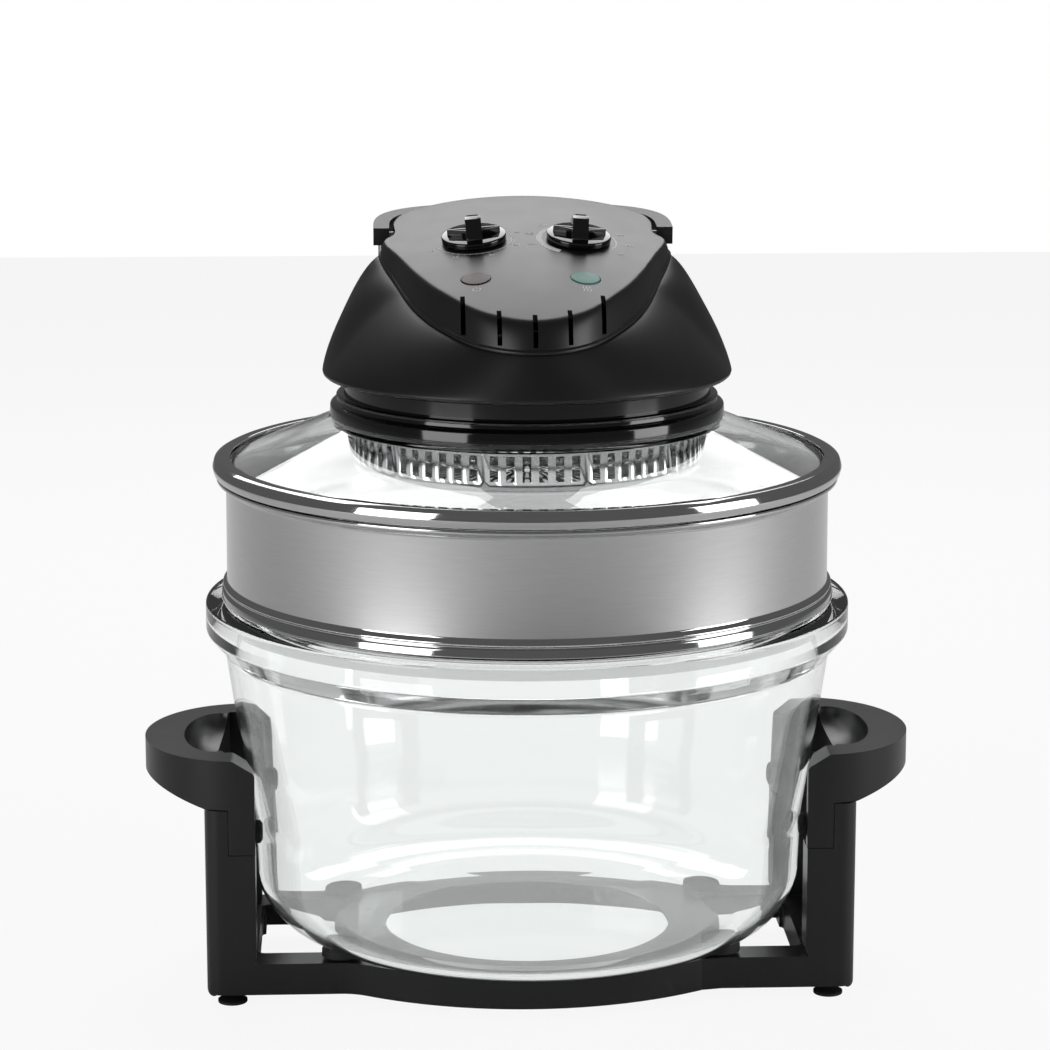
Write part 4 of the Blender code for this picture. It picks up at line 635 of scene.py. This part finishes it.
def make_bowl():
    outer = [(0, 28.6), (98, 28.6, 30), (141, 32, 34), (143.2, 90, 60), (155.5, 176, 8), (165, 186.5, 3),
             (165, 200.8, 1.6)]
    inner = [(151.2, 200.8, 1.2), (151, 176, 20), (138.6, 90, 60), (137, 33.1, 29.5), (90, 33.1), (0, 33.1)]
    bowl = lathe("glass_bowl_clear", fillet(outer + inner, 14), FINE_RING)
    return place_piece(bowl, "bowl", "tempered_glass", "glass_bowl")


def make_extender():
    outer = [(149.5, 192.8), (150.5, 192.8), (150.5, 201.1), (156.2, 201.1, 1), (157, 204, 2),
             (156.5, 207.5, 2),
             (155, 208.6, 0.6), (156.4, 210.2, 1), (153.9, 212.4, 1.5), (153.7, 261.5, 2),
             (157.6, 263.3, 1.2),
             (158.5, 264, 0.5), (158.5, 265.5, 0.5), (152.8, 265.5, 0.5), (152.7, 202.6), (149.5, 202.2)]
    ring = lathe("steel_extender", fillet(outer, 6), FINE_RING)
    return place_piece(ring, "extender", "polished_stainless", "extender_ring")


def make_lid():
    rim = lathe("steel_lid_rim", fillet([
        (151.5, 265.8), (156.5, 265.8, 1), (159.5, 266.8, 1.5), (160.5, 270.4, 3), (159.4, 274.0, 1.6),
        (156.8, 275.3, 1), (151.5, 275.3, 0.5), (151.5, 274.2), (157.3, 274.2), (157.3, 267), (151.5, 267)],
        5), FINE_RING)
    place_piece(rim, "head", "polished_stainless", "lid_rim")
    seal = lathe("silicone_seal", fillet([(152, 267.3), (157, 267.3), (157, 268.5), (152, 268.5, 0.4)]), 192)
    place_piece(seal, "head", "silicone_rubber", "lid_gasket")
    glass = lathe("lid_glass_clear", fillet([
        (157, 268.8), (157, 272.8), (151, 272.8, 6), (100, 294, 8), (88.5, 294, 0.8), (88.5, 290, 0.8),
        (98.5, 290, 8), (150, 268.8, 6)], 10), FINE_RING)
    place_piece(glass, "head", "tempered_glass", "lid_glass")


def make_collar():
    cup = lathe("gloss_band", fillet([
        (5, 294.3), (93, 294.3), (93, 329), (90.5, 329), (90.5, 297.3), (5, 297.3)]), FINE_RING)
    place_piece(cup, "head", "polished_abs", "lower_housing")
    collar = lathe("gloss_collar", fillet([
        (93.3, 294.3), (99.6, 294.3, 0.8), (100.4, 296.5, 1.5), (100.2, 301.5, 1.2), (98.6, 302.8, 0.6),
        (97.0, 303.4, 0.4), (96.8, 305.2, 0.5), (97.2, 306.2, 0.4), (95.8, 307.1, 0.5), (93.3, 307.1)], 5),
        FINE_RING)
    place_piece(collar, "head", "polished_abs", "collar_ring")


# Heater and fans

GUARD_GROUPS = 11
SLOT_WIDTH, SLOT_DEGREES = 4.2, 5.2
# The strips from these rows of the guard to the next are slotted.
SLOTTED_ROWS = (3, 8, 10, 12)
TUBE_RING, TUBE_Z = 66, 279.7
COIL_POINTS, COIL_RADIUS = 1800, 1.5


def make_guard():
    """Thin cage with upright slots in groups of six and a slotted floor."""
    period = 360 / GUARD_GROUPS
    half = degrees(SLOT_WIDTH / 2 / 87.5)
    cuts = []
    for group in range(GUARD_GROUPS):
        for i in range(6):
            middle = group * period + (i - 2.5) * SLOT_DEGREES
            cuts.append((middle - half, middle + half))
    stops = sorted({round(a % 360, 4) for cut in cuts for a in cut}
                   | {round(g * period + period / 2, 4) for g in range(GUARD_GROUPS)})
    count = len(stops)
    rows = [(96.5, 289.7), (88.4, 289.7), (88, 289.2), (88, 286.6), (88, 274.0), (88, 270.2),
            (87.2, 268.6), (85.5, 268)]
    rows += [(r, 268) for r in (80, 62, 60, 44, 42, 26, 24, 10)]
    points = [(r * sin(radians(a)), -r * cos(radians(a)), z)
              for r, z in rows for a in stops]
    points.append((0, 0, 268))
    faces = []
    for j in range(len(rows) - 1):
        for i in range(count):
            k = (i + 1) % count
            middle = (stops[i] + stops[k] + (0 if k else 360)) / 2
            inside = any(lo < middle < hi or lo < middle - 360 < hi for lo, hi in cuts)
            if not (inside and j in SLOTTED_ROWS):
                faces.append((j * count + i, j * count + k, (j + 1) * count + k, (j + 1) * count + i))
    last = (len(rows) - 1) * count
    for i in range(count):
        faces.append((last + i, last + (i + 1) % count, len(points) - 1))
    cage = mesh_piece("slotted_guard", points, faces)
    sheet = cage.modifiers.new("Sheet", "SOLIDIFY")
    sheet.thickness = 0.8 * MM
    sheet.offset = -1.0
    shade(cage, 40)
    place_piece(cage, "head", "bright_guard_steel", "heater_guard")


def on_tube(angle, radius, turn):
    """A point of a tube bent round the heater's ring: angle round the ring, turn round the tube."""
    out = TUBE_RING + radius * cos(turn)
    return out * cos(angle), out * sin(angle), TUBE_Z + radius * sin(turn)


def make_heater():
    shield = lathe("aluminium_shield", fillet([
        (5, 288.9), (40, 288.9), (42, 288.1), (60, 288.1), (62, 288.9), (86, 288.9), (86, 289.7), (62, 289.7),
        (5, 289.7)]), 128)
    place_piece(shield, "head", "mill_aluminium", "heat_shield")
    points = arc(0, 0, TUBE_RING, 107, 433, 96)
    tube = []
    for r in (4.5, 3.6):
        rings = [[on_tube(atan2(y, x), r, tau * k / 20) for k in range(20)] for x, y in points]
        skin = grid_piece("tube_skin", rings, [(*points[0], TUBE_Z), (*points[-1], TUBE_Z)])
        if r < 4:
            skin.data.flip_normals()
        tube.append(skin)
    lamp = shade(merged("quartz_ring", *tube), 50)
    place_piece(lamp, "head", "quartz_tube", "halogen_tube")
    coil = [on_tube(radians(110 + 320 * i / (COIL_POINTS - 1)), COIL_RADIUS, tau * i / 12)
            for i in range(COIL_POINTS)]
    curve = bpy.data.curves.new("tungsten_coil", "CURVE")
    curve.dimensions = "3D"
    curve.bevel_depth = 0.18 * MM
    curve.bevel_resolution = 1
    spline = curve.splines.new("POLY")
    spline.points.add(len(coil) - 1)
    for point, co in zip(spline.points, coil):
        point.co = (*[c * MM for c in co], 1)
    place_piece(linked("tungsten_coil", curve), "head", "zinc_plated_steel")
    for side, name in SIDES:
        holder = block("ceramic_holder_" + name, (13, 14, 15), (side * 9.5, 64.25, 281.1))
        soften(holder, 0.9)
        place_piece(shade(holder), "head", "fired_ceramic", "lamp_holder_" + name)


def blades(hub, length, height, low, count, turn, sheet):
    """Flat vanes round a hub, each turned a little."""
    made = []
    for i in range(count):
        blade = block(f"blade_{i}", (length, sheet, height), (0, 0, 0))
        blade.data.transform(Matrix.Rotation(tau * i / count, 4, "Z")
                             @ Matrix.Translation(Vector((hub + length / 2, 0, low + height / 2)) * MM)
                             @ Matrix.Rotation(radians(turn), 4, "Z"))
        made.append(blade)
    return made


def make_fans():
    disc = lathe("hot_fan_disc", [(2.8, 277), (8, 277), (8, 285.5), (48, 285.5), (48, 286.5), (2.8, 286.5)],
                 96)
    hot = merged("pressed_hot_fan", disc, *blades(17, 29, 8.6, 277.2, 8, 25, 1.0))
    place_piece(shade(hot), "fan", "mill_aluminium", "hot_air_fan")
    plate = lathe("cool_fan_disc", [(2.8, 343), (38, 343), (38, 344), (8, 344), (8, 351), (2.8, 351)], 96)
    cool = merged("moulded_cool_fan", plate, *blades(9, 26, 7.2, 343.6, 8, 25, 1.2))
    place_piece(shade(cool), "fan", "grey_abs", "cooling_fan")
    nut = lathe("cap_nut", fillet([(0, 271.5), (3, 271.6, 1.5), (5.5, 273.6, 0.6), (5.5, 276.7),
                                   (0, 276.7)]), 6)
    place_piece(nut, "fan", "zinc_plated_steel", "fan_nut")
    shaft = rod("drawn_shaft", 2.5, (0, 0, 276.7), (0, 0, 351.5))
    place_piece(shaft, "fan", "zinc_plated_steel", "motor_shaft")


def make_motor():
    motor = lathe("motor_can", fillet([
        (2.8, 312), (27, 312, 1), (27, 318), (26, 318), (26, 320), (27, 320), (27, 332, 3), (9, 336, 1),
        (9, 338),
        (2.8, 338)], 4), 96)
    place_piece(motor, "head", "zinc_plated_steel", "fan_motor")
    for name, material in (("motor_bracket", "zinc_plated_steel"), ("terminal_block", "fired_ceramic"),
                           ("safety_switch", "grey_abs"), ("switch_plunger", "grey_abs"),
                           ("timer_unit", "zinc_plated_steel"), ("thermostat_unit", "zinc_plated_steel")):
        painted(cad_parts[name], material)


# Head shells


def roll_height(t):
    """Shares along and up the rolled edge of the pod: steep apron, then a soft turn into the top."""
    a, b, c, d = (Vector(p) for p in ((0, 0), (0.34, 0.80), (0.60, 1.0), (1.0, 1.0)))
    p = a * (1 - t) ** 3 + b * 3 * t * (1 - t) ** 2 + c * 3 * t * t * (1 - t) + d * t ** 3
    return p.x, p.y


def make_pod():
    lip = loop_of(LIP_EDGE)
    edge = loop_of(TOP_EDGE)
    apron = drawn_in(lip, 1.0)
    rings = [[(x, y, lip_z(y)) for x, y in lip],
             [(x * 1.002, y * 1.002, lip_z(y) + 0.5) for x, y in lip],
             [(x * 1.001, y * 1.001, lip_z(y) + 1.2) for x, y in lip],
             [(x, y, lip_z(y) + 1.7) for x, y in drawn_in(lip, 0.5)],
             [(x, y, lip_z(y) + 2.0) for x, y in apron]]
    for k in range(1, 15):
        u, v = roll_height(k / 14)
        ring = []
        for (ax, ay), (ex, ey) in zip(apron, edge):
            x, y = ax + (ex - ax) * u, ay + (ey - ay) * u
            low = lip_z(ay) + 2.0
            ring.append((x, y, low + (top_z(x, y) - low) * v))
        rings.append(ring)
    for share in (0.985, 0.96, 0.92, 0.86, 0.78, 0.68, 0.57, 0.45, 0.32, 0.19, 0.08):
        rings.append([(x * share, y * share, top_z(x * share, y * share)) for x, y in edge])
    inner_lip = drawn_in(lip, 3.4)
    inner_edge = drawn_in(edge, 2.4)
    inside = [[(x, y, lip_z(y)) for x, y in inner_lip], [(x, y, lip_z(y) + 1.8) for x, y in inner_lip],
              [(x, y, top_z(x, y) - 4.6) for x, y in inner_edge]]
    for share in (0.95, 0.85, 0.6, 0.3, 0.1):
        inside.append([(x * share, y * share, top_z(x * share, y * share) - 2.4) for x, y in inner_edge])
    roof = top_z(0, 0)
    pod = grid_piece("pod_shell", list(reversed(rings)) + inside, ((0, 0, roof), (0, 0, roof - 2.4)))
    tools = []
    for i in range(5):
        x = (i - 2) * 17.2
        outer = min((p for p in lip if p[1] < 0), key=lambda p: abs(p[0] - x))
        rolled = min((p for p in edge if p[1] < 0), key=lambda p: abs(p[0] - x))
        low, high = lip_z(outer[1]) + 3.2, top_z(x, rolled[1]) + 6
        front, back = outer[1] - 4, rolled[1] + 4.5
        tools.append(block(f"slot_tool_{i}", (2.3, back - front, high - low),
                           (x, (front + back) / 2, (low + high) / 2)))
    pod = carve(pod, *tools)
    holes = []
    for side, _ in SIDES:
        lamp = rod("lamp_tool", 7.7, (0, 0, -8), (0, 0, 4))
        lamp.data.transform(panel_place(side * LAMP_X, LAMP_Y))
        stem = rod("stem_tool", 3.3, (0, 0, -8), (0, 0, 4))
        stem.data.transform(panel_place(side * KNOB_X, KNOB_Y))
        holes += [lamp, stem]
    pod = carve(pod, *holes)
    shade(pod, 40)
    return place_piece(pod, "head", "satin_abs", "control_pod")


def dome_power(x, y):
    """How square the dome bulges: rounder in front, fuller behind."""
    angle = degrees(atan2(abs(x), -y))
    t = min(max((angle - 76.0) / 22.0, 0.0), 1.0)
    return 1.16 + 0.34 * t * t * (3 - 2 * t)


def dome_rows(foot, foot_z, seam, drop, steps):
    """Rings from the round foot up to the seam under the pod."""
    rows = []
    for step in range(steps):
        angle = pi / 2 * step / (steps - 1)
        row = []
        for x, y in seam:
            power = 2 / dome_power(x, y)
            out, up = cos(angle) ** power, sin(angle) ** power
            start = Vector((x, y)).normalized() * foot
            top = lip_z(y) - 0.3 - drop
            row.append((x + (start.x - x) * out, y + (start.y - y) * out, foot_z + (top - foot_z) * up))
        rows.append(row)
    return rows


def ring_at(seam, radius, z):
    """A round ring whose points lie below the seam's."""
    return [(*(Vector(p).normalized() * radius), z) for p in seam]


def make_dome():
    lip = loop_of(LIP_EDGE)
    seam = drawn_in(lip, 1.0)
    inner = drawn_in(lip, 3.6)
    rings = [ring_at(seam, 93.6, 317.4), ring_at(seam, 98.6, 316.8), ring_at(seam, 101.2, 316.2),
             ring_at(seam, 102.7, 316.3), ring_at(seam, 103.6, 317.1)]
    rings += dome_rows(104.0, 318.5, seam, 0, 32)
    rings.append([(x, y, lip_z(y) - 0.3) for x, y in inner])
    rings += reversed(dome_rows(101.5, 319.9, inner, 2.5, 10))
    rings.append(ring_at(seam, 93.6, 319.9))
    dome = grid_piece("dome_shell", rings)
    tools = [block(f"vent_tool_{i}", (3.2, 52, 18), ((i - 3) * 8.7, 104, 347)) for i in range(7)]
    tools.append(rod("inlet_tool", 5.1, (0, 88, 330), (0, 125, 330)))
    dome = carve(dome, *tools)
    dome = carve(dome, rod("plunger_tool", 2.2, (-73.5, 56, 326), (-73.5, 56, 380)))
    shade(dome, 40)
    place_piece(dome, "head", "satin_abs", "dome_housing")
    gland = lathe("rubber_gland", fillet([
        (2.4, 99), (4.8, 99), (4.8, 104.3), (7, 104.3, 0.6), (7, 107, 0.8), (5, 109, 0.5), (4.8, 111),
        (5.4, 111.5), (5.4, 113), (4.6, 113.5), (4.4, 115.5), (5, 116), (5, 117.3), (4.2, 118),
        (3.8, 120.3, 0.5), (2.4, 120.3)], 3), 64)
    gland.data.transform(Matrix.Translation((0, 0, 330 * MM)) @ Matrix.Rotation(-pi / 2, 4, "X"))
    place_piece(gland, "head", "moulded_rubber", "cord_gland")


# Dials, prints and lamps

PRINT_LIFT, INK = 0.05, 0.02
SCALE_START, SCALE_SWEEP = -20, 270


def make_dial(side, node):
    """A round knob with a ridge across it and a grey pointer let into the ridge."""
    place = panel_place(side * KNOB_X, KNOB_Y)
    base = lathe("knob_disc", fillet([(0, 0.6), (16.5, 0.6, 0.3), (16.5, 3.2, 0.8), (15.4, 3.6), (0, 3.6)]),
                 96)
    back, ridge = (15, 5.6), (-2.0, 13.6)
    profile = fillet([(-15, 3.2), (15, 3.2), (*back, 1.2), (*ridge, 1.0), (-5.5, 13.2, 1.2), (-15, 6.2, 1.5)])
    bar = prism("knob_bar", [profile], -4, 4, True)
    bar.data.transform(Matrix.Rotation(pi / 2, 4, "Z"))
    wings = prism("knob_wings", [fillet([(-14.6, -1.2, 0.6), (-4, -5.2, 2), (4, -5.2, 2), (14.6, -1.2, 0.6),
                                         (4, 2.4, 2), (-4, 2.4, 2)])], 3.4, 7.2)
    stem = rod("knob_stem", 3.0, (0, 0, -4.8), (0, 0, 3))
    soften(bar, 0.7, 3)
    soften(wings, 1.2, 3)
    knob = merged(node + "_moulded", base, baked(bar), baked(wings), stem)
    knob.data.transform(place)
    body = "timer_dial" if side < 0 else "thermostat_dial"
    place_piece(shade(knob), body, "polished_abs", node + "_knob")
    insert = prism("insert", [fillet([(-3.1, -7.6, 0.6), (3.1, -7.6, 0.6), (3.1, 7.6, 0.6),
                                      (-3.1, 7.6, 0.6)])],
                   0.05, 0.85)
    slope = atan2(ridge[1] - back[1], back[0] - ridge[0])
    insert.data.transform(place @ Matrix.Translation((0, 6.6 * MM, 9.55 * MM))
                          @ Matrix.Rotation(-slope, 4, "X"))
    soften(insert, 0.2, 2)
    place_piece(shade(insert), body, "grey_abs", node + "_pointer")


def ribbon(name, centre, inner, outer, start, end, steps=96, taper=0.0):
    """A printed arc on the panel, narrowed by the taper at its end. Angles run clockwise from the back."""
    points = []
    for i in range(steps + 1):
        t = i / steps
        a = radians(start + (end - start) * t)
        for radius in (inner, outer - taper * t):
            x, y = centre[0] + radius * sin(a), centre[1] + radius * cos(a)
            points.append((x, y, top_z(x, y) + PRINT_LIFT))
    faces = [(2 * i, 2 * i + 1, 2 * i + 3, 2 * i + 2) for i in range(steps)]
    return mesh_piece(name, points, faces)


def figure(text, x, y, size):
    """Printed figures laid on the panel."""
    curve = bpy.data.curves.new("figure", "FONT")
    curve.body = text
    curve.size = size * MM
    curve.align_x = "CENTER"
    curve.align_y = "CENTER"
    curve.extrude = INK * MM
    obj = baked(linked("figure", curve))
    obj.data.transform(panel_place(x, y, 0.06))
    return obj


def make_prints():
    """The scales round both dials, and an icon below each lamp."""
    left, right = (-KNOB_X, KNOB_Y), (KNOB_X, KNOB_Y)
    marks = [ribbon("scale", left, 19.0, 19.5, SCALE_START, 250)]
    for i in range(31):
        a = SCALE_START + SCALE_SWEEP * i / 30
        long = 1.6 if i % 5 == 0 else 1.0
        marks.append(ribbon("tick", left, 19.2, 19.2 + long, a - 0.6, a + 0.6, 2))
    for i in range(7):
        a = radians(SCALE_START + 45 * i)
        marks.append(figure(str(10 * i), left[0] + 23.4 * sin(a), left[1] + 23.4 * cos(a), 3.0))
    marks.append(ribbon("band", right, 18.6, 22.2, -150, 120, taper=2.9))
    for i, text in ((0, "250"), (1, "225"), (2, "200"), (5, "125"), (6, "100"), (7, "65")):
        a = radians(-110 + SCALE_SWEEP / 8 * i)
        marks.append(figure(text, right[0] + 25.6 * sin(a), right[1] + 25.0 * cos(a), 3.0))
    place_piece(merged("dial_prints", *marks), "head", "white_print")
    y = -54.0
    icons = [ribbon("ring", (-LAMP_X, y), 1.7, 2.15, 35, 325, 32),
             ribbon("bar", (-LAMP_X, y + 0.2), 0.6, 2.6, -6, 6, 2)]
    for k in (-1, 0, 1):
        for j in range(10):
            place = (LAMP_X + 1.6 * k + 0.45 * sin(j / 9 * tau), y - 2.2 + 4.4 * j / 9)
            icons.append(ribbon("wave", place, 0.0, 0.34, 0, 360, 8))
    place_piece(merged("lamp_icons", *icons), "head", "white_print")


def make_lamps():
    """The two tinted lenses, let into the panel."""
    for side, kind in ((-1, "power"), (1, "heat")):
        lens = lathe(kind + "_lens_moulded", fillet([
            (0, -8), (6.6, -8), (7.4, -2.4), (7.4, 0.1, 0.2), (6.8, 0.4, 1), (3, 0.5, 4), (0, 0.5)]), 96)
        lens.data.transform(panel_place(side * LAMP_X, LAMP_Y))
        place_piece(lens, "head", kind + "_acrylic", kind + "_lens")


# Bail

PIN_Y, PIN_Z = 46, 381
BAIL_STEPS, BAIL_POWER = 96, 2 / 3


def make_bail():
    """A flat carrying bail on two pins, laid back along the pod's sides."""
    outer, inner = [], []
    for i in range(BAIL_STEPS + 1):
        a = pi * i / BAIL_STEPS
        x = copysign(abs(cos(a)) ** BAIL_POWER, cos(a))
        y = sin(a) ** BAIL_POWER
        outer.append((77.5 * x, 56 * y))
        inner.append((69.3 * x, 46 * y))
    outline = [(77.5, -3.2)] + outer + [(-77.5, -3.2), (-69.3, -3.2)] + inner[::-1] + [(69.3, -3.2)]
    bail = prism("bail_moulding", [outline], -4.5, 4.5)
    bail = carve(bail, *[rod("bore_tool", 2.1, (side * 65, 0, 0), (side * 75.4, 0, 0)) for side, _ in SIDES])
    bail.data.transform(Matrix.Translation((0, PIN_Y * MM, PIN_Z * MM))
                        @ Matrix.Rotation(radians(6), 4, "X"))
    soften(shade(bail, 25), 2.2, 4, 40)
    place_piece(bail, "bail", "satin_abs", "lift_handle")
    for side, name in SIDES:
        pin = rod("steel_pin_" + name, 2.0, (side * 62.7, PIN_Y, PIN_Z), (side * 75.15, PIN_Y, PIN_Z))
        place_piece(pin, "head", "zinc_plated_steel", "handle_pin_" + name)


# Stage

SENSOR_MM = 36.0
PHOTO_WIDTH, PHOTO_SHIFT = 1050.0, -2.0
FLOOR_REACH, FLOOR_WHITE = 3000, 0.9


def make_camera():
    """The photograph's camera, fitted to the rims of the glass and steel."""
    stage = bpy.context.scene.oven_stage
    data = bpy.data.cameras.new("camera")
    data.lens = stage.lens
    data.sensor_width = SENSOR_MM
    data.shift_x = PHOTO_SHIFT / PHOTO_WIDTH
    camera = linked("camera", data)
    camera.location = (sin(stage.azimuth) * stage.distance,
                       -cos(stage.azimuth) * stage.distance, stage.height)
    camera.rotation_euler = (pi / 2 - stage.pitch, 0, stage.azimuth)
    bpy.context.scene.camera = camera


def soft_box(name, power, size, place, target):
    """An area lamp aimed at a point."""
    data = bpy.data.lights.new(name, "AREA")
    data.shape = "RECTANGLE"
    data.size, data.size_y = size
    data.energy = power
    lamp = linked(name, data)
    lamp.location = place
    lamp.rotation_euler = (Vector(target) - Vector(place)).to_track_quat("-Z", "Y").to_euler()


def make_floor():
    """A pale paper floor that shows as nearly white, and still takes the oven's shadow."""
    corners = [(x * FLOOR_REACH, y * FLOOR_REACH, 0) for x, y in ((-1, -1), (1, -1), (1, 1), (-1, 1))]
    floor = mesh_piece("paper_floor", corners, [(0, 1, 2, 3)])
    mat = grained("white_paper", "#f4f4f4", 0.9, 1.5, 0.1, 0.02, 0.03)
    tree = mat.node_tree
    path = add_node(tree, "ShaderNodeLightPath")
    seen = add_node(tree, "ShaderNodeMath", {0: path.outputs["Is Camera Ray"],
                                             1: path.outputs["Is Transmission Ray"]}, operation="MAXIMUM")
    glow = add_node(tree, "ShaderNodeEmission", Strength=1.0)
    mix = add_node(tree, "ShaderNodeMixShader", {2: glow.outputs["Emission"],
                                                 1: tree.nodes["Principled BSDF"].outputs["BSDF"]})
    amount = add_node(tree, "ShaderNodeMath", {0: seen.outputs["Value"]}, operation="MULTIPLY")
    amount.inputs[1].default_value = FLOOR_WHITE
    tree.links.new(amount.outputs["Value"], mix.inputs[0])
    tree.links.new(mix.outputs["Shader"], tree.nodes["Material Output"].inputs["Surface"])
    floor.data.materials.append(mat)


def make_world():
    """White to the camera and through glass, dim as a light."""
    world = bpy.data.worlds.new("studio")
    bpy.context.scene.world = world
    world.use_nodes = True
    tree = world.node_tree
    back = tree.nodes["Background"]
    path = add_node(tree, "ShaderNodeLightPath")
    seen = add_node(tree, "ShaderNodeMath", {0: path.outputs["Is Camera Ray"],
                                             1: path.outputs["Is Transmission Ray"]}, operation="MAXIMUM")
    strength = add_node(tree, "ShaderNodeMapRange", {"Value": seen.outputs["Value"]}, To_Min=0.12, To_Max=1.0)
    tree.links.new(strength.outputs["Result"], back.inputs["Strength"])
    back.inputs["Color"].default_value = (1, 1, 1, 1)


def make_lights():
    stage = bpy.context.scene.oven_stage
    soft_box("left_soft_box", stage.side_power, (0.9, 1.2), (-1.35, -1.15, 0.62), (0, 0, 0.25))
    soft_box("right_soft_box", stage.side_power, (0.8, 1.2), (1.7, -0.55, 0.62), (0, 0, 0.25))
    soft_box("top_soft_box", stage.top_power, (1.6, 1.1), (0, 1.35, 1.45), (0, 0, 0.35))


# Operators


class OVEN_OT_stage(bpy.types.Operator):
    """Sets up the camera, the soft lamps and the white floor"""

    bl_idname = "oven.stage"
    bl_label = "Stage"

    def execute(self, context):
        context.scene.view_settings.view_transform = "Standard"
        make_camera()
        make_world()
        make_floor()
        make_lights()
        return {"FINISHED"}


class OVEN_OT_stand(bpy.types.Operator):
    """Moulds the stand with its posts and low bars"""

    bl_idname = "oven.stand"
    bl_label = "Stand"

    def execute(self, context):
        make_stand()
        return {"FINISHED"}


class OVEN_OT_handles(bpy.types.Operator):
    """Moulds the two crescent handles"""

    bl_idname = "oven.handles"
    bl_label = "Handles"

    def execute(self, context):
        for side, name in SIDES:
            make_handle(side, name)
        return {"FINISHED"}


class OVEN_OT_rubber(bpy.types.Operator):
    """Adds feet, bowl pads and bumpers"""

    bl_idname = "oven.rubber"
    bl_label = "Rubber"

    def execute(self, context):
        make_rubber()
        return {"FINISHED"}


class OVEN_OT_bowl(bpy.types.Operator):
    """Presses the glass bowl"""

    bl_idname = "oven.bowl"
    bl_label = "Bowl"

    def execute(self, context):
        make_bowl()
        return {"FINISHED"}


class OVEN_OT_extender(bpy.types.Operator):
    """Rolls the steel extender ring"""

    bl_idname = "oven.extender"
    bl_label = "Extender ring"

    def execute(self, context):
        make_extender()
        return {"FINISHED"}


class OVEN_OT_lid(bpy.types.Operator):
    """Makes the lid's steel rim, seal and glass"""

    bl_idname = "oven.lid"
    bl_label = "Lid"

    def execute(self, context):
        make_lid()
        return {"FINISHED"}


class OVEN_OT_collar(bpy.types.Operator):
    """Moulds the glossy band and collar under the dome"""

    bl_idname = "oven.collar"
    bl_label = "Band and collar"

    def execute(self, context):
        make_collar()
        return {"FINISHED"}


class OVEN_OT_heater(bpy.types.Operator):
    """Makes the slotted guard, the shield, the ring lamp and its holders"""

    bl_idname = "oven.heater"
    bl_label = "Heater"

    def execute(self, context):
        make_guard()
        make_heater()
        return {"FINISHED"}


class OVEN_OT_fans(bpy.types.Operator):
    """Makes the fans, their shaft and the motor"""

    bl_idname = "oven.fans"
    bl_label = "Fans and motor"

    def execute(self, context):
        make_fans()
        make_motor()
        return {"FINISHED"}


class OVEN_OT_dome(bpy.types.Operator):
    """Moulds the dome with its vents and cord inlet"""

    bl_idname = "oven.dome"
    bl_label = "Dome"

    def execute(self, context):
        make_dome()
        return {"FINISHED"}


class OVEN_OT_pod(bpy.types.Operator):
    """Moulds the control pod and cuts its front slots"""

    bl_idname = "oven.pod"
    bl_label = "Control pod"

    def execute(self, context):
        make_pod()
        return {"FINISHED"}


class OVEN_OT_dials(bpy.types.Operator):
    """Makes both dials, their printed scales and the lamps"""

    bl_idname = "oven.dials"
    bl_label = "Dials and lamps"

    def execute(self, context):
        make_dial(-1, "timer")
        make_dial(1, "thermostat")
        make_prints()
        make_lamps()
        return {"FINISHED"}


class OVEN_OT_bail(bpy.types.Operator):
    """Moulds the carrying bail and sets its pins"""

    bl_idname = "oven.bail"
    bl_label = "Bail"

    def execute(self, context):
        make_bail()
        return {"FINISHED"}


class OVEN_PT_panel(bpy.types.Panel):
    """Lists the oven's steps"""

    bl_idname = "OVEN_PT_panel"
    bl_label = "Convection oven"
    bl_space_type = "VIEW_3D"
    bl_region_type = "UI"
    bl_category = "Oven"

    def draw(self, context):
        for prop in ("black", "satin", "steel", "glass", "power", "heat", "print_white"):
            self.layout.prop(context.scene.oven_finish, prop)
        for prop in ("azimuth", "distance", "height", "pitch", "lens", "top_power", "side_power"):
            self.layout.prop(context.scene.oven_stage, prop)
        for step in STEPS:
            self.layout.operator(step.bl_idname)


STEPS = (
    OVEN_OT_stage, OVEN_OT_stand, OVEN_OT_handles, OVEN_OT_rubber, OVEN_OT_bowl, OVEN_OT_extender,
    OVEN_OT_lid,
    OVEN_OT_collar, OVEN_OT_heater, OVEN_OT_fans, OVEN_OT_dome, OVEN_OT_pod, OVEN_OT_dials, OVEN_OT_bail,
)
CLASSES = (OvenFinish, OvenStage, *STEPS, OVEN_PT_panel)


def register():
    for cls in CLASSES:
        bpy.utils.register_class(cls)
    bpy.types.Scene.oven_finish = bpy.props.PointerProperty(type=OvenFinish)
    bpy.types.Scene.oven_stage = bpy.props.PointerProperty(type=OvenStage)


def unregister():
    del bpy.types.Scene.oven_stage
    del bpy.types.Scene.oven_finish
    for cls in reversed(CLASSES):
        bpy.utils.unregister_class(cls)


def main():
    register()
    for step in STEPS:
        getattr(bpy.ops.oven, step.bl_idname.split(".")[1])()


if __name__ == "__main__":
    main()
